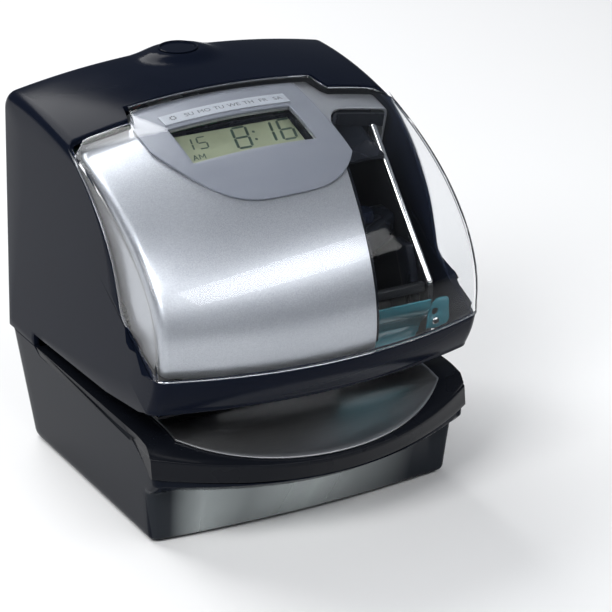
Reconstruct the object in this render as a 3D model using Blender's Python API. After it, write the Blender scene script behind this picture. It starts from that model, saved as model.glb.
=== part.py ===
"""Punch time clock: a card stamping clock with a lift-off cover, a clear visor and a side-open card throat.

Every length below is in millimetres and is turned into metres where a mesh is made.
X runs to the right, Y to the back and Z up; the origin is under the middle, on the table.
"""
import math

import bmesh
import bpy
from mathutils import Matrix, Vector

MM = 0.001
GAP = 0.3  # room between pieces that touch

# Driving dimensions of the casing
DEPTH = 166.0
FRONT_HALF = 72.8  # half width at the front; the sides splay a little towards the back
REAR_HALF = 75.0
WALL = 2.6
FOOT_DROP = 1.4  # how far the case floor stands off the table
PARTING = 49.3  # foot of the cover at the back
TABLE_TOP = 50.0  # the level that a card slides on
THROAT_END = 53.5  # how far back the card throat reaches
THROAT_ROOF = 54.7
LIP_FOOT = 62.0
RIM = 79.3  # foot of the visor

# Side view of the brow: one quarter of an ellipse, swelling towards the middle of the width
BROW_Y, BROW_Z = 64.2, 90.0
BROW_LONG, BROW_HIGH = 130.7, 68.0
FRONT_SWELL, TOP_SWELL = 15.5, 8.0
REAR_ROUND = 9.0
EDGE_ROUND = 4.0
VISOR_WALL = 1.6
PANEL_INSET = 4.6  # face panel under the outer skin
TOP_EDGE, TAB_EDGE, TAB_HALF = 67.1, 72.5, 43.0  # where the visor ends: degrees up the brow

# Time display, tilted with the brow
WINDOW_AT = (-5.5, 57.3)  # place across, degrees up the brow
WINDOW_TILT = math.radians(17.6)
WINDOW_SIZE = (55.5, 24.0)

# Print mechanism
PLATE_X = (-58.8, 57.2)  # middles of the two chassis side plates
PLATE_THICK = 2.4
SCREW_AT = (-8.0, 88.0)  # lead screw, as y and z
SHAFTS_AT = ((-22.0, 70.0), (8.0, 70.0))
SHAFT_R = 2.5
GEAR_MODULE, GEAR_X = 0.8, -63.6
SCREW_TEETH, PINION_TEETH = 30, 15
PRINT_LINE = -38.0
TRIGGER_AT = (61.0, 66.0)  # pin of the card trigger, as y and z

# Lock in the middle of the back edge
LOCK_AT = (0.0, 62.0)
LOCK_TOP = 169.0

BLACK = ("case_black", (0.018, 0.021, 0.030), 0.30, 0.0)
TABLE_BLACK = ("table_black", (0.015, 0.017, 0.022), 0.35, 0.0)
SILVER = ("silver_paint", (0.52, 0.54, 0.58), 0.38, 0.35)
GREY = ("bezel_grey", (0.20, 0.22, 0.25), 0.45, 0.0)
CLEAR = ("clear_plastic", (0.90, 0.94, 0.97), 0.05, 0.0)
TEAL = ("teal_tint", (0.10, 0.32, 0.34), 0.10, 0.0)
RUBBER = ("rubber", (0.02, 0.02, 0.02), 0.8, 0.0)
STEEL = ("zinc_steel", (0.62, 0.63, 0.65), 0.32, 1.0)
BRIGHT = ("bright_steel", (0.75, 0.75, 0.76), 0.18, 1.0)
BRASS = ("brass", (0.72, 0.55, 0.25), 0.25, 1.0)
BOARD = ("board_green", (0.02, 0.16, 0.08), 0.5, 0.0)
DISPLAY = ("display_glass", (0.26, 0.30, 0.22), 0.15, 0.0)
STRIP = ("strip_grey", (0.42, 0.44, 0.47), 0.5, 0.0)
NYLON = ("nylon", (0.78, 0.77, 0.72), 0.5, 0.0)
RED = ("button_red", (0.45, 0.03, 0.03), 0.4, 0.0)


def clear_scene():
    for old in list(bpy.data.objects):
        bpy.data.objects.remove(old, do_unlink=True)


def material_of(finish):
    name, colour, roughness, metallic = finish
    made = bpy.data.materials.get(name)
    if made:
        return made
    made = bpy.data.materials.new(name)
    made.use_nodes = True
    shader = made.node_tree.nodes["Principled BSDF"]
    shader.inputs["Base Color"].default_value = (*colour, 1.0)
    shader.inputs["Roughness"].default_value = roughness
    shader.inputs["Metallic"].default_value = metallic
    return made


def place(name, bm, finish, origin=(0, 0, 0)):
    """A new object from a bmesh in millimetres, with its own origin at the given point."""
    bmesh.ops.transform(bm, matrix=Matrix.Translation(-Vector(origin)), verts=bm.verts)
    bmesh.ops.scale(bm, vec=(MM, MM, MM), verts=bm.verts)
    mesh = bpy.data.meshes.new(name)
    bm.to_mesh(mesh)
    bm.free()
    mesh.shade_smooth()
    mesh.set_sharp_from_angle(angle=math.radians(32))
    mesh.materials.append(material_of(finish))
    made = bpy.data.objects.new(name, mesh)
    made.location = Vector(origin) * MM
    bpy.context.scene.collection.objects.link(made)
    return made


def loft_mesh(rings):
    """A closed solid through rings of points: neighbours joined by quads, both ends capped."""
    bm = bmesh.new()
    loops = [[bm.verts.new(point) for point in ring] for ring in rings]
    for one, two in zip(loops, loops[1:]):
        for i, corner in enumerate(one):
            j = (i + 1) % len(one)
            bm.faces.new((corner, one[j], two[j], two[i]))
    bm.faces.new(loops[0])
    bm.faces.new(loops[-1])
    bmesh.ops.recalc_face_normals(bm, faces=bm.faces)
    return bm


def loft(name, rings, finish, origin=(0, 0, 0)):
    return place(name, loft_mesh(rings), finish, origin)


def prism(name, outline, axis, low, high, finish, origin=(0, 0, 0)):
    """A flat outline pushed along X, Y or Z; its points are the other two coordinates in order."""
    at = "XYZ".index(axis)
    rings = []
    for level in (low, high):
        rings.append([(*point[:at], level, *point[at:]) for point in outline])
    return loft(name, rings, finish, origin)


def block(name, low, high, finish, edge=0.0, origin=(0, 0, 0)):
    """A box between two corners, its edges rounded by two-step bevels where edge is given."""
    bm = bmesh.new()
    bmesh.ops.create_cube(bm, size=1.0)
    size = [b - a for a, b in zip(low, high)]
    middle = [(a + b) / 2 for a, b in zip(low, high)]
    bmesh.ops.scale(bm, vec=size, verts=bm.verts)
    bmesh.ops.translate(bm, vec=middle, verts=bm.verts)
    if edge:
        bmesh.ops.bevel(bm, geom=list(bm.edges), offset=edge, segments=2, profile=0.5, affect="EDGES")
    return place(name, bm, finish, origin)


def turned(name, centre, axis, profile, finish, sides=20, turn=0.0):
    """A turned piece: profile gives (distance along the axis, radius) from one end to the other."""
    at = "XYZ".index(axis)
    rings = []
    for along, radius in profile:
        ring = []
        for i in range(sides):
            angle = turn + 2 * math.pi * i / sides
            flat = [radius * math.cos(angle), radius * math.sin(angle)]
            flat.insert(at, along)
            ring.append([c + f for c, f in zip(centre, flat)])
        rings.append(ring)
    return loft(name, rings, finish, centre)


def gear(name, centre, teeth, thick, finish, turn=0.0):
    """A spur gear on an X axis, with straight-sided teeth thin enough to mesh with room to spare."""
    pitch = GEAR_MODULE * teeth / 2
    root, tip = pitch - 1.1 * GEAR_MODULE, pitch + 0.85 * GEAR_MODULE
    step = 2 * math.pi / teeth
    outline = []
    for i in range(teeth):
        for share, radius in ((-0.30, root), (-0.13, tip), (0.13, tip), (0.30, root)):
            angle = turn + (i + share) * step
            outline.append((radius * math.cos(angle), radius * math.sin(angle)))
    rings = [
        [(centre[0] + x, centre[1] + y, centre[2] + z) for y, z in outline] for x in (-thick / 2, thick / 2)
    ]
    return loft(name, rings, finish, centre)


def sheet(name, rows, thick, finish, even=True):
    """A curved sheet through rows of points, given its wall by Solidify away from its outer side."""
    bm = bmesh.new()
    grid = [[bm.verts.new(point) for point in row] for row in rows]
    for one, two in zip(grid, grid[1:]):
        for a, b, c, d in zip(one, one[1:], two[1:], two):
            bm.faces.new((a, b, c, d))
    made = place(name, bm, finish)
    wall = made.modifiers.new("wall", "SOLIDIFY")
    wall.thickness = thick * MM
    wall.offset = -1.0
    wall.use_even_offset = even
    return made


def cutter(made):
    made.hide_render = True
    made.display_type = "WIRE"
    return made


def cut(target, tool, operation="DIFFERENCE"):
    change = target.modifiers.new(tool.name, "BOOLEAN")
    change.operation = operation
    change.object = cutter(tool)
    change.solver = "EXACT"


# ---------------------------------------------------------------- shared curves of the casing


def side_half(y):
    return FRONT_HALF + (REAR_HALF - FRONT_HALF) * (y + DEPTH / 2) / DEPTH


def brow(angle, t, inset):
    """Point (y, z) of the brow at an angle up from the front, at the place t across (-1 to 1)."""
    a = math.radians(angle)
    out = Vector((-math.cos(a) / BROW_LONG, math.sin(a) / BROW_HIGH)).normalized()
    swell = (FRONT_SWELL - (FRONT_SWELL - TOP_SWELL) * math.sin(a) ** 2) * (1 - t * t)
    y = BROW_Y - BROW_LONG * math.cos(a) + out.x * (swell - inset)
    z = BROW_Z + BROW_HIGH * math.sin(a) + out.y * (swell - inset)
    return y, z


def stations(wall, edge):
    """Places across the width as (t, drop): even steps, then a quarter round at each side."""
    half = (FRONT_HALF + REAR_HALF) / 2
    right = []
    for degrees in (30, 60, 90):
        a = math.radians(degrees)
        right.append(((half - wall - edge + edge * math.sin(a)) / half, edge * (1 - math.cos(a))))
    flat_end = (half - wall - edge) / half
    flat = [(flat_end * i / 4, 0.0) for i in range(-4, 5)]
    left = [(-t, drop) for t, drop in reversed(right)]
    return left + flat + right


def housing_outline(t, inset, foot=None):
    """Side outline (y, z) of the cover at t across, from its back foot over the top to its front lip."""
    k = 1 - t * t
    lift = TOP_SWELL * k
    back_foot, back_top = DEPTH / 2 - inset, 77.2 - inset
    points = [(back_foot, PARTING if foot is None else foot)]
    points.append((back_foot + (back_top - back_foot) * 0.5, PARTING + 50))
    centre = (77.2 - REAR_ROUND, 149.0 + lift)
    for degrees in (0, 30, 60, 90):
        a = math.radians(degrees)
        r = REAR_ROUND - inset
        points.append((centre[0] + r * math.cos(a), centre[1] + r * math.sin(a)))
    for angle in (90, 82, 74, 66, 58, 50, 42, 34, 26, 18, 10, 2, -5):
        points.append(brow(angle, t, inset))
    lip_top = (-65.6 - 13.8 * k + inset, RIM - 0.7)
    lip_foot = (-58.0 - 12.5 * k + inset, LIP_FOOT if foot is None else foot)
    points += [lip_top, lip_foot]
    if foot is None:
        points += [(-48.0, 60.4), (-23.5, 57.0), (THROAT_END, THROAT_ROOF), (THROAT_END + 0.3, PARTING)]
    return points


def across(t, outline):
    return [(t * side_half(y), y, z) for y, z in outline]


# Front edge of the cover's cheeks, as (y, z), from the visor's foot to the brow
CHEEK_EDGE = (
    (-57.0, 80.2), (-50.0, 84.7), (-39.9, 91.3), (-32.4, 96.6), (-31.2, 103.0),
    (-26.1, 116.2), (-14.5, 131.8), (0.9, 144.2), (12.8, 152.0),
)


def panel_edge(angle):
    """Right edge of the face panel beside the print well, as x at an angle up the brow."""
    return 18.6 + 21.0 * (max(angle, 0.0) / 62.7) ** 2.2


# ---------------------------------------------------------------- cover


def upper_housing():
    """Black moulded cover: cheeks, back, top and front lip in one shell, open below and at the visor."""
    rings = [across(t, housing_outline(t, drop)) for t, drop in stations(0.0, EDGE_ROUND)]
    shell = loft("upper_housing", rings, BLACK)
    # The hollow runs out below the whole cover, so nothing closes it underneath.
    inner = [across(t, housing_outline(t, drop + WALL, foot=40.0)) for t, drop in stations(WALL, 2.0)]
    cut(shell, loft("cover_hollow", inner, BLACK))
    above = [(14.2, 153.2), (14.2, 185.0), (-110.0, 185.0)]
    opening = [(-110.0, RIM), (-58.5, RIM), *CHEEK_EDGE, *above]
    cut(shell, prism("visor_opening", opening, "X", -90, 90, BLACK))
    cut(shell, block("visor_tab_opening", (-TAB_HALF, 0, 140), (TAB_HALF, 24.4, 185), BLACK))
    boss = []
    for radius, level in ((19.0, 160.0), (16.0, 164.6), (11.5, 167.2), (9.4, 168.2)):
        ring = []
        for i in range(28):
            a = 2 * math.pi * i / 28
            y = LOCK_AT[1] + radius * math.sin(a)
            ring.append((radius * 1.15 * math.cos(a), min(y, 75.2), level))
        boss.append(ring)
    cut(shell, loft("lock_boss", boss, BLACK), "UNION")
    bore = turned("lock_bore", (*LOCK_AT, 0), "Z", ((148, 7.7), (180, 7.7)), BLACK, 28)
    cut(shell, bore)
    return shell


def visor():
    """Clear moulded window over the whole face, wrapping round to the cheeks."""
    half = (FRONT_HALF + REAR_HALF) / 2
    columns = []
    for degrees in (90, 60, 30):
        a = math.radians(degrees)
        columns.append((-(half - 3.0 + 3.0 * math.sin(a)) / half, 3.0 * (1 - math.cos(a))))
    flat = (-70.0, -56.0, -TAB_HALF + 0.4, -TAB_HALF + 0.9, -29.0, -14.5, 0.0)
    columns += [(x / half, 0.0) for x in flat]
    columns += [(-t, drop) for t, drop in reversed(columns[:-1])]
    corners = path_shares(CHEEK_EDGE)
    halfway = [(a + b) / 2 for a, b in zip(corners, corners[1:])]
    rows = []
    for share in sorted(corners + halfway):
        cheek = point_along(CHEEK_EDGE, share, forward=(2 + 3 * share) * GAP)
        row = []
        for t, drop in columns:
            top = TAB_EDGE if abs(t * half) < TAB_HALF - 0.6 else TOP_EDGE
            if abs(t * half) > 69.0:
                top = TOP_EDGE - (3.8 if drop else 1.4)  # the top corners are rounded off
            edge = drop * (1 - 0.7 * share**6)  # the side's rounding tightens towards the top
            row.append((t, brow(-4 + (top + 4) * share, t, edge)))
        rows.append(visor_row(row, cheek))
    rim = []
    for t, drop in columns:
        rim.append((t, (-64.8 - 14.2 * (1 - t * t) + 0.5 * drop, RIM + 0.5)))
    rows.insert(0, visor_row(rim, (-58.2, RIM + 0.5)))
    return sheet("visor", rows, VISOR_WALL, CLEAR, even=False)


def visor_row(row, cheek):
    """One row of the visor, right to left as seen from the front, with a cheek wing at either end."""
    points = [(t * side_half(y), y, z) for t, (y, z) in row]
    side_y, side_z = row[0][1]
    wings = []
    for share in (1.0, 0.5):
        y = side_y + (cheek[0] - side_y) * share
        z = side_z + (cheek[1] - side_z) * share
        wings.append((side_half(y), y, z))
    left = [(-x, y, z) for x, y, z in wings]
    return left + points + list(reversed(wings))


def path_shares(path):
    """How far along a path each of its points lies, from 0 to 1."""
    lengths = [math.dist(a, b) for a, b in zip(path, path[1:])]
    return [sum(lengths[:i]) / sum(lengths) for i in range(len(path))]


def point_along(path, share, forward=0.0):
    """Point at a share of a path's length, moved forward by a small gap."""
    lengths = [math.dist(a, b) for a, b in zip(path, path[1:])]
    want = share * sum(lengths)
    for a, b, length in zip(path, path[1:], lengths):
        if want <= length or b is path[-1]:
            f = min(want / length, 1.0)
            return a[0] + (b[0] - a[0]) * f - forward, a[1] + (b[1] - a[1]) * f
        want -= length
    return path[-1]


def face_rows(inset, columns, low, top, tab):
    """Rows of points over the face, with columns given as (x, extra inset)."""
    half = (FRONT_HALF + REAR_HALF) / 2
    steps = 12
    rows = []
    for i in range(steps + 1):
        row = []
        for x, extra in columns:
            end = tab if abs(x) < TAB_HALF else top
            y, z = brow(low + (end - low) * i / steps, min(max(x / half, -1), 1), inset + extra)
            row.append((x, y, z))
        rows.append(row)
    return rows


def face_panel():
    """Silver painted panel under the visor, with returned edges and the print well cut out at the right."""
    side = [(-69.4, 15.0), (-69.4, 8.0), (-69.4, 3.0), (-68.6, 0.9), (-66.6, 0.0)]
    flat = [(-56, 0), (-43.6, 0), (-42.4, 0), (-28, 0), (-14, 0), (0, 0)]
    columns = side + flat
    columns += [(-x, extra) for x, extra in reversed(columns[:-1])]
    panel = sheet("face_panel", face_rows(PANEL_INSET, columns, -4.5, 68.0, 73.8), 1.4, SILVER)
    well = []
    for angle in (-16, -2, 12, 26, 38, 50, 57, 62.3):
        near, far = brow(angle, 0.4, -8.0), brow(angle, 0.4, 34.0)
        x = panel_edge(angle)
        well.append([(x, *near), (95.0, *near), (95.0, *far), (x, *far)])
    cut(panel, loft("well_cut", well, BLACK))
    cut(panel, window_box("window_cut", (0.0, 0.0), WINDOW_SIZE, (-14.0, 16.0), BLACK))
    return panel


def window_box(name, offset, size, levels, finish):
    """A box square to the tilted display: offset and size in its plane, levels above the face there."""
    x, angle = WINDOW_AT
    y, z = brow(angle, x / 74.0, 0.0)
    bm = bmesh.new()
    bmesh.ops.create_cube(bm, size=1.0)
    bmesh.ops.scale(bm, vec=(size[0], size[1], levels[1] - levels[0]), verts=bm.verts)
    middle = (offset[0], offset[1], (levels[0] + levels[1]) / 2)
    bmesh.ops.translate(bm, vec=middle, verts=bm.verts)
    turn = Matrix.Translation((x, y, z)) @ Matrix.Rotation(WINDOW_TILT, 4, "X")
    bmesh.ops.transform(bm, matrix=turn, verts=bm.verts)
    return place(name, bm, finish)


def display_bezel():
    """Smooth grey surround of the time display, round below and square above."""
    half = (FRONT_HALF + REAR_HALF) / 2
    rows = [[] for _ in range(9)]
    for i in range(17):
        x = -45.4 + (34.0 + 45.4) * i / 16
        low = 37.0 + 21.0 * abs((x + 4.0) / 41.4) ** 3.2 * (1.0 if x < -4 else 0.6)
        high = TAB_EDGE - 0.6 if abs(x) < TAB_HALF - 0.5 else TOP_EDGE - 0.8
        for j, row in enumerate(rows):
            row.append((x, *brow(low + (high - low) * j / 8, x / half, 3.0)))
    bezel = sheet("display_bezel", rows, 1.2, GREY)
    cut(bezel, window_box("bezel_cut", (0.0, 0.0), WINDOW_SIZE, (-14.0, 16.0), BLACK))
    return bezel


def day_strip():
    """Printed strip above the display that names the days."""
    half = (FRONT_HALF + REAR_HALF) / 2
    rows = [
        [(x, *brow(angle, x / half, 2.2)) for x in (-33, -26, -19, -12, -5, 2, 9, 16, 24)]
        for angle in (64.4, 65.9, 67.4)
    ]
    return sheet("day_strip", rows, 0.5, STRIP)


def well_liner():
    """Black inner wall round the print well."""
    path = [(panel_edge(a) + 1.6, a, 14.0) for a in (-3.5, 6, 18, 30)]
    path += [(panel_edge(a) + 1.6, a, 6.0) for a in (42, 52)]
    path += [(panel_edge(60.0) + 3.4, 60.0, 6.0), (54.0, 60.8, 4.0), (66.0, 60.0, 4.0)]
    path += [(67.2, a, 8.0) for a in (54, 42, 30, 18, 6, -3.5)]
    rows = []
    for share in (0.0, 0.5, 1.0):
        row = []
        for x, angle, deep in path:
            row.append((x, *brow(angle, x / 74.0, 5.4 + deep * share)))
        rows.append(list(reversed(row)))
    return sheet("well_liner", rows, 1.0, TABLE_BLACK)


def lock():
    """Barrel lock: a flanged body fixed in the cover, and a plug with a cam that turns in it."""
    x, y = LOCK_AT
    body = turned(
        "lock_barrel", (x, y, 0), "Z",
        ((149, 7.2), (168.4, 7.2), (168.4, 8.6), (168.8, 8.6), (LOCK_TOP, 8.3)), BRIGHT, 28,
    )
    cut(body, turned("plug_bore", (x, y, 0), "Z", ((140, 5.4), (180, 5.4)), BLACK, 28))
    plug = turned("lock_plug", (x, y, 0), "Z", ((146.3, 5.0), (168.7, 5.0)), BRIGHT, 28)
    cut(plug, block("key_slot", (x - 3.2, y - 0.7, 160), (x + 3.2, y + 0.7, 180), BLACK))
    outline = [(x - 4, y - 4), (x + 8, y - 3), (x + 9.4, y - 1.5)]
    outline += [(reach, 2 * y - side) for reach, side in reversed(outline)]
    prism("lock_cam", outline, "Z", 143.5, 146.0, STEEL, (x, y, 143.5))


# ---------------------------------------------------------------- lower case


def front_line(level, x):
    """Front of the lower case in plan, as y: nearly straight at the foot, a lens-shaped nose above."""
    foot = -53.0 + 3.5 * (x / 60) ** 2
    face = -51.0 - 18.5 * max(0.0, 1 - (x / 60) ** 2)
    nose = -56.0 - 24.2 * (1 - (x / 73) ** 2)
    if level <= 24.0:
        return foot + (face - foot) * (level - FOOT_DROP) / (24.0 - FOOT_DROP)
    return face + (nose - face) * min((level - 24.0) / 6.6, 1.0)


def case_half(level):
    """How much narrower the case is at a level than at the parting line."""
    return -4.2 * (PARTING - min(level, PARTING)) / PARTING


def case_ring(level, inset):
    """Plan outline of the lower case at a level: nose, corners, sides and back."""
    draft = case_half(level) - inset
    back = 73.0 + 10.0 * min((level - FOOT_DROP) / (PARTING - FOOT_DROP), 1.0) - inset
    corner = 10.0 - 0.5 * inset
    ring = []
    reach = FRONT_HALF - 3.0 + draft
    for i in range(17):
        x = -reach + 2 * reach * i / 16
        ring.append((x, front_line(level, x) + inset, level))
    front_side = front_line(level, reach) + inset + 4.0
    ring.append((side_half(front_side) + draft, front_side, level))
    ring.append((side_half(0.0) + draft, 0.0, level))
    for degrees in (0, 30, 60, 90):
        a = math.radians(degrees)
        wide = side_half(back - corner) + draft
        ring.append((wide - corner + corner * math.cos(a), back - corner + corner * math.sin(a), level))
    mirrored = [(-x, y, z) for x, y, z in reversed(ring[17:])]
    return ring + mirrored


def lower_case():
    """Black moulded base tub, open above for the card table and below for the bottom plate."""
    levels = (FOOT_DROP, 3.0, 12.0, 23.4, 24.6, 30.6, 36.0, PARTING - 0.4)
    rings = [case_ring(level, 1.0 if level == FOOT_DROP else 0.0) for level in levels]
    tub = loft("lower_case", rings, BLACK)
    inner_levels = (FOOT_DROP - 6, FOOT_DROP, 24.0, 30.0, 60.0)
    hollow = []
    for level in inner_levels:
        ring = []
        for x, y, z in case_ring(max(level, FOOT_DROP), WALL):
            ring.append((x, max(y, -47.0 + 3.0 * (x / 60) ** 2), level))
        hollow.append(ring)
    cut(tub, loft("case_hollow", hollow, BLACK))
    stations_x = [-90] + list(range(-72, 73, 6)) + [90]
    table = [table_outline(x, GAP, raised=20.0) for x in stations_x]
    cut(tub, loft("table_seat", [[(x, y, z) for y, z in o] for x, o in zip(stations_x, table)], BLACK))
    cut(tub, block("inlet_hole", (36.7, 60, 13.7), (55.3, 100, 30.3), BLACK))
    return tub


def table_outline(x, room=0.0, raised=0.0):
    """Side outline (y, z) of the card table at x; room grows it and raised lifts its top for a cutter."""
    w = min(abs(x) / 73, 1.0) ** 2
    nose_top = (-DEPTH / 2 + 27.0 * w, 40.0 + 3.4 * w)
    nose_foot = (-80.3 + 23.2 * w, 30.9 + 3.2 * w)
    middle = ((nose_top[0] + nose_foot[0]) / 2 - 0.9, (nose_top[1] + nose_foot[1]) / 2 + 0.6)
    top = TABLE_TOP - 1.2
    if raised:
        return [
            (THROAT_END - 0.5 + room, 46.3 - room), (THROAT_END - 0.5 + room, top + raised),
            (-110.0, top + raised), (-110.0, nose_foot[1] - 2 * room),
            (nose_foot[0], nose_foot[1] - 2 * room), (-38.5, 46.3 - room),
        ]
    return [
        (THROAT_END - 0.5, 46.3), (THROAT_END - 0.5, top), (-45.0, top), (-62.0 + 9 * w, top - 2.6 + 1.2 * w),
        nose_top, middle, nose_foot, (-40.0, 46.3),
    ]


def card_table():
    """Black table insert with the drooping nose that a card rests on."""
    edge_half = 72.4
    xs = [-edge_half, -66, -60, -50, -40, -30, -20, -10, 0, 10, 20, 30, 40, 50, 60, 66, edge_half]
    rings = []
    for x in xs:
        splay = 0.995 * x / FRONT_HALF
        rings.append([(splay * side_half(y), y, z) for y, z in table_outline(x)])
    table = loft("card_table", rings, TABLE_BLACK)
    low, high = PRINT_LINE - 5.6, PRINT_LINE + 5.6
    cut(table, block("platen_seat", (-53.6, low, 46.9), (53.6, high, 60), BLACK))
    return table


def table_plate():
    """Silver wear plate on the table: round in front, following the table's slope over the nose."""
    xs = [-61, -54, -45, -36, -27, -18, -9, 0, 9, 18, 27, 36, 45, 54, 61]
    rings = []
    for x in xs:
        w = (x / 73) ** 2
        front = -82.0 + (82.0 - math.sqrt(82.0**2 - x * x))
        top = TABLE_TOP - 1.2
        outline = []
        bend, bend_z = -62.0 + 9 * w, top - 2.6 + 1.2 * w
        nose_y, nose_z = -DEPTH / 2 + 27.0 * w, 40.0 + 3.4 * w
        share = (front - bend) / (nose_y - bend) if front < bend else 0.0
        tip_z = bend_z + (nose_z - bend_z) * share if front < bend else bend_z
        tip = (min(front, bend - 0.5), tip_z)
        for y, z in (tip, (bend, bend_z), (-45.0, top), (49.0, top)):
            outline.append((x, y, z + GAP))
        for y, z in ((49.0, top), (-45.0, top), (bend, bend_z), tip):
            outline.append((x, y, z + 1.2))
        rings.append(outline)
    plate = loft("table_plate", rings, SILVER)
    low, high = PRINT_LINE - 5.6, PRINT_LINE + 5.6
    cut(plate, block("platen_slot", (-53.6, low, 40), (53.6, high, 60), BLACK))
    return plate


def base_fittings():
    """Platen, bottom plate, rubber feet, screws and the power inlet."""
    low, high = PRINT_LINE - 5.3, PRINT_LINE + 5.3
    block("platen", (-53.3, low, 47.2), (53.3, high, TABLE_TOP), RUBBER, 0.5)
    plate_low, plate_high = FOOT_DROP + 0.2, FOOT_DROP + 1.4
    outline = [(-56, -44), (56, -44), (65.5, -42), (65.5, 62), (60, 68.6)]
    outline += [(-x, y) for x, y in reversed(outline)]
    plate = prism("bottom_plate", outline, "Z", plate_low, plate_high, STEEL)
    places = [("front_left", -52, -36), ("front_right", 52, -36)]
    places += [("rear_left", -52, 58), ("rear_right", 52, 58)]
    for where, x, y in places:
        turned(
            "foot_" + where, (x, y, 0), "Z", ((0, 5.2), (0.5, 5.8), (plate_low - GAP, 6.0)), RUBBER, 20
        )
        inward_x, inward_y = x * 0.78, y + (4 if y < 0 else -4)
        bore = turned("screw_hole_" + where, (inward_x, inward_y, 0), "Z", ((-2, 1.8), (8, 1.8)), BLACK, 12)
        cut(plate, bore)
        turned(
            "base_screw_" + where, (inward_x, inward_y, 0), "Z",
            ((0.6, 2.6), (0.9, 3.0), (plate_low - GAP, 3.0), (plate_low - GAP, 1.5), (9.0, 1.5)), BRIGHT, 12,
        )
    inlet = block("power_inlet", (37, 62, 14), (55, 79.6, 30), TABLE_BLACK)
    cut(inlet, block("inlet_recess", (40.5, 70, 18), (51.5, 90, 26), BLACK))


# ---------------------------------------------------------------- chassis and display


def chassis():
    """Two steel side plates joined at the back and by tie bars, carrying everything under the cover."""
    outline = [
        (70.6, 6), (70.6, 30), (73.5, 60), (73.5, 128), (62, 136), (-10, 136), (-53.0, 90),
        (-53.0, 60.5), (57.5, 60.5), (57.5, 6),
    ]
    for name, x in (("left_side_plate", PLATE_X[0]), ("right_side_plate", PLATE_X[1])):
        plate = prism(name, outline, "X", x - PLATE_THICK / 2, x + PLATE_THICK / 2, STEEL)
        for i, (y, z) in enumerate(SHAFTS_AT):
            radius = SHAFT_R + 0.3
            cut(plate, turned(f"{name}_shaft_hole_{i}", (x, y, z), "X", ((-9, radius), (9, radius)), BLACK))
        cut(plate, turned(name + "_screw_hole", (x, *SCREW_AT), "X", ((-9, 3.4), (9, 3.4)), BLACK))
        if x < 0:
            y, z = pinion_centre()
            cut(plate, turned("motor_hole", (x, y, z), "X", ((-9, 4.4), (9, 4.4)), BLACK))
    left, right = PLATE_X[0] + PLATE_THICK / 2 + GAP, PLATE_X[1] - PLATE_THICK / 2 - GAP
    block("rear_cross_plate", (left, 68.0, 34), (right, 69.6, 134), STEEL)
    block("front_tie_bar", (left, -51.4, 87), (right, -48.6, 91), STEEL, 0.4)
    guide = block("upper_guide", (-66, -50, 56.0), (66, 55.0, 57.0), STEEL)
    cut(guide, block("throat_stop", (-66, 53.6, 50.6), (66, 54.8, 59.5), STEEL), "UNION")
    ear = [(48, 56.4), (54.4, 56.4), (67.6, 61), (67.6, 70), (59, 70), (48, 58)]
    for i, low in enumerate((-8.6, 7.2)):
        cut(guide, prism(f"trigger_ear_{i}", ear, "X", low, low + 1.4, STEEL), "UNION")
    cut(guide, turned("ear_hole", (0, *TRIGGER_AT), "X", ((-20, 1.8), (20, 1.8)), BLACK, 14))
    cut(guide, block("print_slot", (-54, PRINT_LINE - 8, 50), (54, PRINT_LINE + 6.5, 60), BLACK))
    cut(guide, block("trigger_slot", (-4, 42, 50), (4, 60, 60), BLACK))
    keeper = [(69.9, 130), (73.4, 130), (73.4, 148.4), (70.2, 148.4)]
    keeper += [(70.2, 147), (72, 147), (72, 133), (69.9, 133)]
    prism("lock_keeper", keeper, "X", -8, 8, STEEL)
    block("main_board", (left + 4, 64.0, 88), (right - 4, 65.6, 130), BOARD)
    block("transformer", (-22, -22, 5), (26, 22, 43), STEEL, 1.0)
    block("backup_battery", (-60, -8, 5), (-34, 40, 26), RED, 1.5)


def display():
    """Liquid crystal clock module on its bracket, deep behind the face window."""
    window_box("lcd_glass", (0, 0.5), (57, 25.6), (-13.0, -10.9), DISPLAY)
    frame = window_box("lcd_frame", (0, 0.5), (62, 30), (-15.8, -10.6), TABLE_BLACK)
    cut(frame, window_box("glass_seat", (0, 0.5), (57.6, 26.2), (-13.3, 0), BLACK))
    window_box("display_board", (0, 0.5), (70, 34), (-17.7, -16.1), BOARD)
    window_box("display_bracket", (4.7, 0.5), (112.8, 28), (-19.4, -18.0), STEEL)
    block("button_board", (-36, 34, 139.6), (4, 50, 144.3), BOARD)
    for i in range(3):
        x = -28 + 12 * i
        turned(f"set_button_{i + 1}", (x, 42, 0), "Z", ((145.0, 2.4), (148.4, 2.4), (148.8, 2.0)), RED, 16)


# ---------------------------------------------------------------- print mechanism


def pinion_centre():
    reach = GEAR_MODULE * (SCREW_TEETH + PINION_TEETH) / 2
    a = math.radians(60)
    return SCREW_AT[0] + reach * math.cos(a), SCREW_AT[1] + reach * math.sin(a)


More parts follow.
